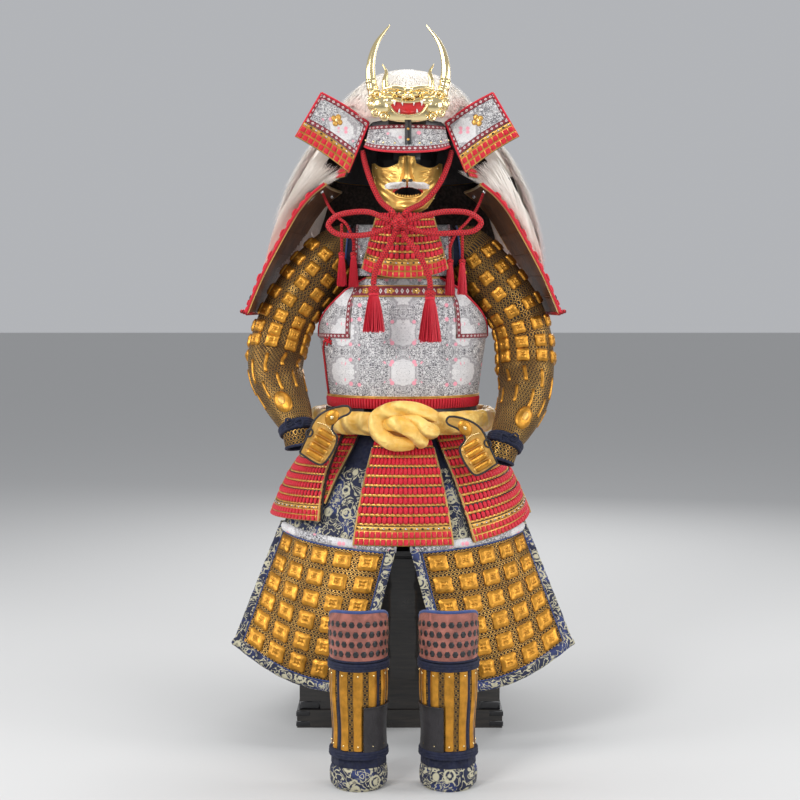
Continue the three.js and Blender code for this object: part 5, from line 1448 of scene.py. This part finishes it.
def make_helmet():
    """Laced neck guard, brocade visor and the two brocade turn-backs."""
    nodes_paint("helmet_bowl", "black")
    nodes_paint("visor", "black_leather")
    nodes_paint("neck_guard", "black_leather")

    def guard(t, across, out):
        return helmet_point(mix(NECK["from"], NECK["to"], across), mix(NECK["top"], NECK["foot"], t), out)

    lacing = Piece("neck_guard_lacing")
    laced(lacing, guard, lamed_rows(0.0, 1.0, 4, (4, 0.5)), 60)
    lacing.make()

    half = VISOR["half"]
    visor = Piece("visor_cloth")

    def brow(t, across, out):
        angle = mix(-half, half, across)
        foot = VISOR["foot"] + VISOR["rise"] * (angle / half) ** 2
        return helmet_point(angle, mix(NECK["top"], foot, t), out)

    visor.grid(patch(brow, steps(8), steps(32), 1.8), "brocade")
    for ends in ((0.0, 0.15), (0.80, 0.95)):
        band(visor, *patch(brow, ends, steps(32), 2.6), "trim")
    visor.tube([brow(1.0, a, 0.5) for a in steps(32)], 2.6, "lacing", 8)
    for a in steps(8):
        visor.ball(brow(0.70, a, 2.4), (2.6, 2.6, 2.6), "bright", 5, 8)
    visor.make()

    for side, mirror in SIDES:
        nodes_paint(f"turn_back_{side}", "black_leather")
        point = turn_back_point(mirror)
        piece = Piece(f"turn_back_cloth_{side}")
        piece.grid(patch(point, between(0.0, 0.655, 12), steps(20), 2.8), "brocade")
        for ends in ((0.0, 0.09), (0.56, 0.65)):
            band(piece, *patch(point, ends, steps(20), 3.6), "trim")
        for ends in ((0.0, 0.055), (0.945, 1.0)):
            near, far = ([point(t, a, 3.6) for t in steps(12)[:8]] for a in ends)
            band(piece, near, far, "trim")
        rows = [(0.665, 0.735, 5.0, 4.7, "dots"), (0.735, 0.865, 4.7, 4.0, "squares"),
                (0.865, 0.995, 4.0, 3.2, "squares")]
        laced(piece, point, rows, 10)
        for across in (0.0, 1.0):
            piece.tube([point(t, across, 2) for t in steps(12)], 2.6, "lacing", 8)
        piece.tube([point(0, a, 2) for a in steps(20)], 2.6, "lacing", 8)
        centre = point(0.32, 0.52, 3.4)
        axes = frame_at(point, 0.32, 0.52)
        for turn in circle(4)[:-1]:
            place = centre + axes[0] * (8 * math.cos(turn)) + axes[1] * (8 * math.sin(turn))
            piece.ball(place, (7, 7, 2.2), "edge", 5, 10, axes)
        piece.ball(centre, (5, 5, 4), "bright", 6, 10, axes)
        piece.make()


def strand_mesh(name, lines, sides, tones):
    """Ribbons of hair as one mesh: lines and sides hold a point and a half width for each step."""
    count, length = lines.shape[:2]
    rows = np.stack([lines - sides, lines + sides], axis=2).reshape(-1, 3) * MM
    uvs = np.zeros((count, length, 2, 2), dtype=np.float32)
    uvs[..., 1] = tones[:, :, None]
    quads = []
    for k in range(length - 1):
        base = np.arange(count, dtype=np.int32) * length * 2 + 2 * k
        quads.append(np.stack([base, base + 1, base + 3, base + 2], axis=1))
    faces = np.concatenate(quads)
    mesh = bpy.data.meshes.new(name)
    mesh.vertices.add(len(rows))
    mesh.vertices.foreach_set("co", rows.astype(np.float32).ravel())
    mesh.loops.add(faces.size)
    mesh.loops.foreach_set("vertex_index", faces.ravel())
    mesh.polygons.add(len(faces))
    mesh.polygons.foreach_set("loop_start", np.arange(0, faces.size, 4, dtype=np.int32))
    mesh.update(calc_edges=True)
    layer = mesh.uv_layers.new(name="measure")
    layer.data.foreach_set("uv", uvs.reshape(-1, 2)[faces.ravel()].ravel())
    mesh.polygons.foreach_set("use_smooth", [True] * len(mesh.polygons))
    mesh.materials.append(M["hair"])
    obj = add_object(name, mesh)
    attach(obj, "root")


def mane_strand(angle, lines, sides, tones, i):
    """One strand on the mane's own surface, lifting a little and running past its foot."""
    fold = min(angle, 360 - angle)
    foot = line_read(MANE_FOOT, 1, fold)
    start = random.random() ** 1.1
    depth = random.uniform(-1, 6)
    span = random.uniform(0.16, 0.36)
    drift = random.uniform(-4, 4)
    extra = random.uniform(0, 34) if fold > 70 else random.uniform(-4, 6)
    lift = random.uniform(0, 15) * (1.0 if fold > 66 else 0.5)
    width = random.uniform(0.6, 1.1)
    curl = random.uniform(1.5, 4.5)
    spin = random.uniform(-0.9, 0.9)
    last = lines.shape[1] - 1
    for k in range(last + 1):
        s = k / last
        along = start + span * s
        past = max(0.0, along - 1.0) / span
        z = mix(MANE_CROWN, foot, min(along, 1.0)) - past * extra
        turn = angle + drift * s + 1.5 * math.sin(9 * min(along, 1.0) + i)
        out = depth + lift * s ** 1.5 + curl * s * math.sin(i + 9 * s)
        place = on_oval(MANE, turn + 0.5 * curl * s * math.cos(i * 1.7 + 8 * s), z, out, HEAD_X, -10)
        lines[i, k] = place
        a = math.radians(turn)
        sides[i, k] = Vector((math.cos(a), math.sin(a), spin * 0.4)) * (width * (1 - 0.75 * s ** 2))
        tones[i, k] = clamp(along)


def lock_strand(mirror, lines, sides, tones, i):
    """One strand of the locks that fall from under a turn-back over the top of the shoulder guard."""
    inward = random.random()
    thick = random.uniform(-1, 1)
    route = []
    for out_x, in_x, y, spread, out_z, in_z in LOCK_ROUTE:
        x = HEAD_X * 0.3 + mirror * mix(out_x, in_x, inward)
        route.append((x, y + spread * thick, mix(out_z, in_z, inward)))
    path = spline(route, 4)
    length = lines.shape[1]
    first = random.uniform(0, 0.45) * (len(path) - 1)
    reach = random.uniform(0.4, 0.62) * (len(path) - 1)
    wave = random.uniform(0, 6.28)
    width = random.uniform(0.8, 1.5)
    for k in range(length):
        at = min(first + reach * k / (length - 1), len(path) - 1.001)
        low = int(at)
        place = path[low].lerp(path[low + 1], at - low)
        stray = Vector((math.sin(wave + 0.5 * at), math.cos(wave + 0.4 * at),
                        math.sin(wave * 2 + 0.3 * at)))
        lines[i, k] = place + stray * (3 + 7 * k / length)
        sides[i, k] = Vector((0.8, 0.1, 0.6 * -mirror)) * (width * (1 - 0.7 * (k / length) ** 2))
        tones[i, k] = clamp(0.3 + 0.7 * at / len(path))


def make_hair():
    """Hair in two halves, each with the locks at its front."""
    nodes_paint("mane", "mane_base")
    for (side, mirror), low in zip(SIDES, (180, 0)):
        strands, locks, length = HAIR["strands"], HAIR["locks"], HAIR["length"]
        lines = np.zeros((strands + locks, length, 3))
        sides = np.zeros_like(lines)
        tones = np.zeros((strands + locks, length))
        for i in range(strands):
            mane_strand(random.uniform(low, low + 180), lines, sides, tones, i)
        for i in range(strands, strands + locks):
            lock_strand(mirror, lines, sides, tones, i)
        strand_mesh(f"hair_{side}", lines, sides, tones)


def make_crest():
    """Horned mask crest in polished gold, of a traditional kind in its own proportions."""
    x0, y0 = CREST
    piece = Piece("crest_gold")

    def at(x, y, z):
        return Vector((x0 + x, y0 + y, z))

    def mirrored(m, points):
        return [at(m * x, y, z) for x, y, z in points]

    def round_form(form, m=1):
        (x, y, z), radii, key, rows, sides = form
        piece.ball(at(m * x, y, z), radii, key, rows, sides)

    for form in CREST_MIDDLE:
        round_form(form)
    for m in (-1, 1):
        for form in CREST_PAIRS:
            round_form(form, m)
        brow = [(x, -16 - 3 * math.sin(x / 16), 1461 + 6 * math.sin((x - 6) / 17)) for x in range(6, 58, 5)]
        piece.tube(mirrored(m, brow), lambda t: 6.5 - 3.0 * t, "bright", 10)
        round_form(CREST_CHEEK, m)
        for k, (cx, cz, r) in enumerate(CREST_CURLS):
            curl = []
            for j in range(22):
                a = j * 0.42 + k
                reach = r * (1 - j / 26)
                curl.append((cx + reach * math.cos(a), -9 - j * 0.35, cz + reach * math.sin(a)))
            piece.tube(mirrored(m, curl), lambda t: 3.6 - 2.0 * t, "bright", 8)

        def horn(t):
            ribs = 1.5 * max(0.0, math.sin(t * 58)) if t < 0.30 else 0
            return mix(12.5, 1.4, t ** 1.9) + ribs

        piece.tube(spline(mirrored(m, CREST_HORN), 20), horn, "bright", 18)
        piece.tube(spline(mirrored(m, CREST_PRONG), 8), lambda t: mix(9, 1.0, t), "bright", 12)
        round_form(CREST_ROOT, m)
        for tooth, size, tip in CREST_TEETH:
            piece.tube(mirrored(m, tooth), lambda t: size * (1 - t) + tip, "white", 8)
    mouth = []
    for s in steps(6):
        z = mix(CREST_MOUTH["top"], CREST_MOUTH["foot"], s)
        half = mix(CREST_MOUTH["wide"], CREST_MOUTH["narrow"], s)
        row = []
        for a in steps(16):
            swell = math.cos(math.pi * (a - 0.5))
            row.append(at(mix(-half, half, a), -12 - 4 * swell, z - 5 * swell * (1 - s)))
        mouth.append(row)
    piece.grid(mouth, "red")
    piece.tube(spline(mirrored(1, CREST_LIP), 5), 3.6, "bright", 8)
    piece.ball(at(0, -15, 1413), (15, 6, 5), "red", 8, 14)
    piece.make(("crest",))
    holder = Piece("crest_holder")
    left, right = HOLDER_SIDES
    rows = []
    for z, back, front in CREST_HOLDER:
        corners = ((left, back), (left, front), (right, front), (right, back))
        rows.append([Vector((x, y, z)) for x, y in corners])
    holder.grid(rows, "black", closed=True)
    holder.ball((x0, -204, 1352), (3, 2.4, 3), "edge", 5, 8)
    holder.ball((x0, -197, 1376), (3, 2.4, 3), "edge", 5, 8)
    holder.make()


def mask_top(u):
    """Height of the mask's upper edge, which dips under each eye and stands up at the nose."""
    side = abs(u)
    return 1320 if side < 0.14 else 1306 - 12 * math.sin(min(1, (side - 0.14) / 0.66) * math.pi)


def mask_surface(u, t, out):
    """A point of the half mask: u runs across it and t up it."""
    z = mix(MASK_FOOT, mask_top(u), t)
    half = smooth_read(MASK, 1, z) + out
    front = smooth_read(MASK, 2, z) - out
    edge = smooth_read(MASK, 3, z)
    turn = math.radians(u * MASK_TURN)
    x = half * math.sin(turn) / math.sin(math.radians(MASK_TURN))
    reach = smooth_read(NOSE, 1, z) if z > 1250 else 0
    nose = reach * max(0.0, 1 - (x / smooth_read(NOSE, 2, z)) ** 2)
    chin = 8 * max(0.0, 1 - (x / 26) ** 2) * max(0.0, 1 - ((z - 1204) / 12) ** 2)
    cheek = 6 * math.exp(-(((abs(x) - 44) / 16) ** 2) - (((z - 1268) / 18) ** 2))
    folds = 1.2 * math.sin((abs(x) * 0.8 - (z - MASK_FOOT)) * 0.42) * math.exp(-(((abs(x) - 50) / 17) ** 2))
    folds *= clamp((1292 - z) / 20) * clamp((z - 1206) / 16)
    return Vector((HEAD_X + x, mix(edge, front, math.cos(turn)) - nose - chin - cheek - folds, z))


def make_mask():
    """The half mask with its lips, teeth, rivets and moustache, and the laced throat guard."""
    piece = Piece("mask_metal")

    def surface(t, u, out):
        return mask_surface(u, t, out)

    def outside_mouth(p):
        return ((p.x - HEAD_X - MOUTH["x"]) / 32) ** 2 + ((p.z - MOUTH["z"]) / 12.5) ** 2 > 1

    columns = between(-1, 1, 72)
    for out, key in ((0.3, "mask"), (-2.0, "black")):
        piece.grid(patch(surface, steps(60), columns, out), key, keep=outside_mouth)
    piece.tube([mask_surface(u, 1, -0.6) for u in columns], 1.8, "mask", 8)
    piece.tube([mask_surface(-1, t, -0.8) for t in steps(24)], 1.8, "mask", 8)
    piece.tube([mask_surface(1, t, -0.8) for t in steps(24)], 1.8, "mask", 8)

    def near(x, z, out=0.0):
        turn = math.asin(clamp(x / smooth_read(MASK, 1, z) * math.sin(math.radians(MASK_TURN)), -1, 1))
        u = math.degrees(turn) / MASK_TURN
        p = mask_surface(u, (z - MASK_FOOT) / (mask_top(u) - MASK_FOOT), 0)
        return Vector((p.x, p.y - out, p.z))

    mouth_x, mouth_z, mouth_half = MOUTH["x"], MOUTH["z"], MOUTH["half"]
    lip = [near(mouth_x + mouth_half * math.cos(a), mouth_z + MOUTH["high"] * math.sin(a), 1.5)
           for a in circle(36)]
    piece.tube(lip[:19], 2.6, "red", 10)
    piece.tube(lip[18:], 2.6, "mask", 10)
    for k in range(9):
        x = mix(-22, 26, k / 8)
        drop = mouth_z - 11.5 * math.sqrt(max(0.0, 1 - ((x - mouth_x) / mouth_half) ** 2))
        piece.ball(near(x, drop, -3) + Vector((0, 2, 2)), (3.0, 2.2, 4.6), "edge", 6, 8)
    for m in (-1, 1):
        # The black nostrils are painted shade: dark balls where the nose's openings would be in shadow.
        piece.ball(near(m * 7.5, 1263, 10), (5.4, 4, 3.4), "black", 6, 10)
        for x, z in MASK_RIVETS:
            piece.ball(near(m * x, z, 0.5), (2.3, 2.3, 2.3), "bright", 6, 8)
        piece.tube(spline([near(m * x, z, out) for x, z, out in MASK_HOOK], 6), 1.3, "edge", 6)
        for brow in range(3):
            line = [near(m * x, 1284 - brow * 7 + 5 * math.sin((x - 20) / 20), 0.6) for x in range(24, 62, 4)]
            piece.tube(line, lambda t: 0.4 + 1.5 * math.sin(t * math.pi), "mask", 8)
    piece.make(("mask",))
    beard = Piece("moustache")
    for i in range(HAIR["moustache"]):
        m = -1 if i % 2 else 1
        root = random.uniform(0, 26)
        start = near(m * root + 2 * m, 1255 + random.uniform(-4.5, 5), 3.5)
        reach = random.uniform(14, 25)
        path = []
        for t in steps(4):
            y = -2.2 * math.sin(t * 2.4) + 3 * t * t + random.uniform(-0.5, 0.5)
            z = 4.0 * math.sin(t * 2.2) - 8 * t + random.uniform(-0.7, 0.7)
            path.append(start + Vector((m * reach * t, y, z)))
        beard.tube(path, lambda t: 1.4 * (1 - 0.6 * t), "white", 4, caps=False)
    beard.make()

    nodes_paint("throat_guard", "black_leather")

    def throat(t, across, out):
        half = THROAT_SPOT["half"]
        angle = mix(-half, half, across)
        foot = THROAT_SPOT["foot"] + THROAT_SPOT["rise"] * (angle / half) ** 2
        z = mix(THROAT_SPOT["top"], foot, t)
        return on_oval(THROAT, angle, z, out, THROAT_SPOT["x"], THROAT_SPOT["y"])

    guard = Piece("throat_lacing")
    laced(guard, throat, lamed_rows(0.0, 1.0, 4, (5, 1.5)), 18)
    side_studs(guard, throat, 0.02, 1.0, 16, (5, 2))
    guard.make()


def shin_point(mirror):
    """A shin guard's surface: t is the height, which follows the rim above the knee's middle."""
    oval = [(z, w, f, f) for z, w, f in SHIN_SECTION]
    half = SHIN["half"]

    def point(t, across, out):
        angle = mix(-half, half, across)
        rim = SHIN["top"] - 34 * min(1, abs(angle) / half) ** 4 - 2
        knee = SHIN["knee"]
        z = t if t <= knee else mix(knee, rim, (t - knee) / SHIN["knee_high"])
        return on_oval(oval, angle, z, out, mirror * SHIN["x"], SHIN["y"])

    return point


def make_shins():
    """Mail, splints, patch, ties, studded knee pad and floral hem of both shin guards."""
    for side, mirror in SIDES:
        for node, key in ((f"shin_shell_{side}", "navy"), (f"knee_pad_{side}", "knee"),
                          (f"shin_patch_{side}", "black_leather"), (f"shin_hem_{side}", "floral")):
            nodes_paint(node, key)
        point = shin_point(mirror)
        piece = Piece(f"shin_details_{side}")
        piece.grid(patch(point, between(80, 248, 24), steps(44), 0.7), "mail")
        for splint in range(SHIN["splints"]):
            a = (splint + 0.5) / SHIN["splints"]
            rows = []
            for z in between(SPLINT["low"], SPLINT["high"], 12):
                row = []
                for k in steps(8):
                    offset = (k - 0.5) * SPLINT["wide"]
                    row.append(point(z, a + offset, 1.4 + 3.0 * math.sin(k * math.pi) ** 0.6))
                rows.append(row)
            piece.grid(rows, "plate")
            for z in SPLINT["rivets"]:
                piece.ball(point(z, a, 4.4), (2.2, 2.2, 2.2), "bright", 5, 8)
        leather = patch(point, between(80, 172, 8), between(*SHIN_PATCH[side], 10), 6.2)
        piece.grid(leather, "black_leather")
        piece.tube(leather[-1], 1.8, "black_leather", 6)
        for z in (73, 255):
            for shift in (-5, 0, 5):
                piece.tube([point(z + shift, a, 5.6) for a in steps(36)], 3.2, "navy", 8)
        piece.grid(patch(point, between(266, 368, 14), steps(44), 4.6), "knee")
        for row, z in enumerate(between(KNEE_STUDS["low"], KNEE_STUDS["high"], KNEE_STUDS["rows"] - 1)):
            for column in range(KNEE_STUDS["columns"]):
                a = (column + (0.5 if row % 2 else 1.0)) / (KNEE_STUDS["columns"] + 0.5)
                if 0.02 < a < 0.98:
                    along = (point(z, a + 0.01, 0) - point(z, a - 0.01, 0)).normalized()
                    normal = (point(z, a, 1) - point(z, a, 0)).normalized()
                    piece.ball(point(z, a, 4.7), (6.4, 7.4, 1.1), "black", 4, 6, (along, Z_AXIS, normal))
        piece.tube([point(368, a, 3) for a in steps(36)], 3.4, "piping", 8)
        piece.tube([point(267, a, 4) for a in steps(36)], 2.4, "navy", 8)
        for across in (0.0, 1.0):
            piece.tube([point(z, across, 0) for z in between(50, 368, 20)], 3.2, "navy", 8)
        piece.make()
        hem = Piece(f"shin_hem_cloth_{side}")
        rows = []
        for z, out in SHIN_HEM:
            rows.append([point(z, a, out + 0.9 * math.sin(a * 60)) for a in steps(60)])
        hem.grid(rows, "floral")
        hem.make()


def make_straps():
    """Brocade shoulder straps with woven trim, leather edges, a toggle and a ring."""
    raise_trim = Vector((0, -0.6, 0.6))
    for side, mirror in SIDES:
        nodes_paint(f"shoulder_strap_{side}", "black_leather")
        piece = Piece(f"strap_details_{side}")
        centre = mirror * STRAP_X
        middle = spline([(centre, y, z) for y, z in STRAP_LINE], 6)
        rows = []
        for i, p in enumerate(middle):
            along = (middle[min(i + 1, len(middle) - 1)] - middle[max(i - 1, 0)]).normalized()
            up = Vector((0, -along.z, along.y))
            rows.append([p + up * 6.9 + Vector((mirror * w, 0, 0)) for w in STRAP_ACROSS])
        piece.grid(rows, "brocade")
        for near in (0, 5):
            band(piece, *([row[near + k] + raise_trim for row in rows] for k in (0, 1)), "trim")
        for w in (-29, 29):
            piece.tube([row[3] + Vector((w, 0, -2)) for row in rows], 2.6, "black_leather", 8)
        piece.tube([(mirror * 62, -121, 1072), (mirror * 108, -121, 1072)], 5.0, "black", 10)
        ring = [(centre + 13 * math.cos(a), -124, 1092 + 9 * math.sin(a)) for a in circle(20)]
        piece.tube(ring, 2.2, "silver", 8)
        piece.tube([(centre, -125, 1083), (centre, -125, 1101)], 1.6, "silver", 6)
        piece.make()


def make_chest():
    """Lacquer, corner fittings and handles of the chest, and the stand's finish."""
    for name in ("chest_body", "chest_lid"):
        nodes_paint(name, "chest")
    nodes_paint("stand_post", "wood")
    nodes_paint("stand_head", "black")
    low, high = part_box("chest_body")
    lid_low, lid_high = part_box("chest_lid")
    x0, x1 = low[0] / MM + 6, high[0] / MM - 6
    y0, y1 = low[1] / MM + 6, high[1] / MM - 6
    piece = Piece("chest_fittings")
    corners = [(x, y, sx, sy) for x, sx in ((x0, 1), (x1, -1)) for y, sy in ((y0, 1), (y1, -1))]
    for x, y, sx, sy in corners:
        face = (X_AXIS, Z_AXIS, -sy * Y_AXIS)
        for z in CHEST_CORNERS:
            piece.block((x + sx * 24, y, z), (24, 9, 1.6), "black", face)
            piece.block((x, y + sy * 24, z), (24, 9, 1.6), "black", (Y_AXIS, Z_AXIS, -sx * X_AXIS))
        for z in PLINTH_CORNERS:
            piece.block((x + sx * 14 - sx * 6, y - sy * 6, z), (16, 6, 1.2), "black", face)
    (left, front), (right, rear) = ((corner[0] / MM, corner[1] / MM) for corner in (lid_low, lid_high))
    for z in LID_SEAMS:
        ring = [(left, front, z), (right, front, z), (right, rear, z), (left, rear, z), (left, front, z)]
        piece.tube(ring, 1.6, "black", 6)
    middle = (y0 + y1) / 2
    half, level, drop = HANDLE["half"], HANDLE["z"], HANDLE["drop"]
    for x, sx in ((x0, -1), (x1, 1)):
        handle = [(x + sx * 4, middle + half * math.cos(a), level - drop * math.sin(a))
                  for a in circle(14, math.pi)]
        piece.tube(handle, 4.5, "black", 10)
        for y in (-half, half):
            piece.ball((x + sx * 2, middle + y, level), (6, 9, 9), "black", 6, 12)
    piece.make()


def make_studio():
    """A pale floor, a soft sky and six soft lamps."""
    mesh = bpy.data.meshes.new("floor")
    half = FLOOR_HALF
    corners = [(-half, -half, 0), (half, -half, 0), (half, half, 0), (-half, half, 0)]
    mesh.from_pydata(corners, [], [(0, 1, 2, 3)])
    floor = add_object("floor", mesh)
    mesh.materials.append(Shader("floor", (0.58, 0.58, 0.575), 0.9).material)
    floor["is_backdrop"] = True
    world = bpy.data.worlds.new("studio")
    world.use_nodes = True
    sky = world.node_tree.nodes["Background"]
    sky.inputs[0].default_value = SKY["color"]
    sky.inputs[1].default_value = SKY["strength"]
    bpy.context.scene.world = world
    for name, place, size, power in LIGHTS:
        data = bpy.data.lights.new(name, "AREA")
        data.size = size
        data.energy = power
        light = add_object(name, data)
        light.location = place
        light.rotation_euler = (Vector(LIGHTS_AIM) - Vector(place)).to_track_quat("-Z", "Y").to_euler()


bpy.context.scene.view_settings.view_transform = "Standard"
make_camera()
make_cords()
make_studio()
for name in TASSETS:
    nodes_paint(f"tasset_{name}", "black_leather")
make_tassets()
make_apron()
make_thigh_guard()
make_belt()
make_cuirass()
make_sleeves()
make_hand_guards()
make_shoulder_guards()
make_helmet()
make_hair()
make_crest()
make_mask()
make_shins()
make_straps()
make_chest()

boxes = {"cad": CAD_BOX, "visual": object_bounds()}
{key: [list(map(float, corner)) for corner in value] for key, value in boxes.items()}
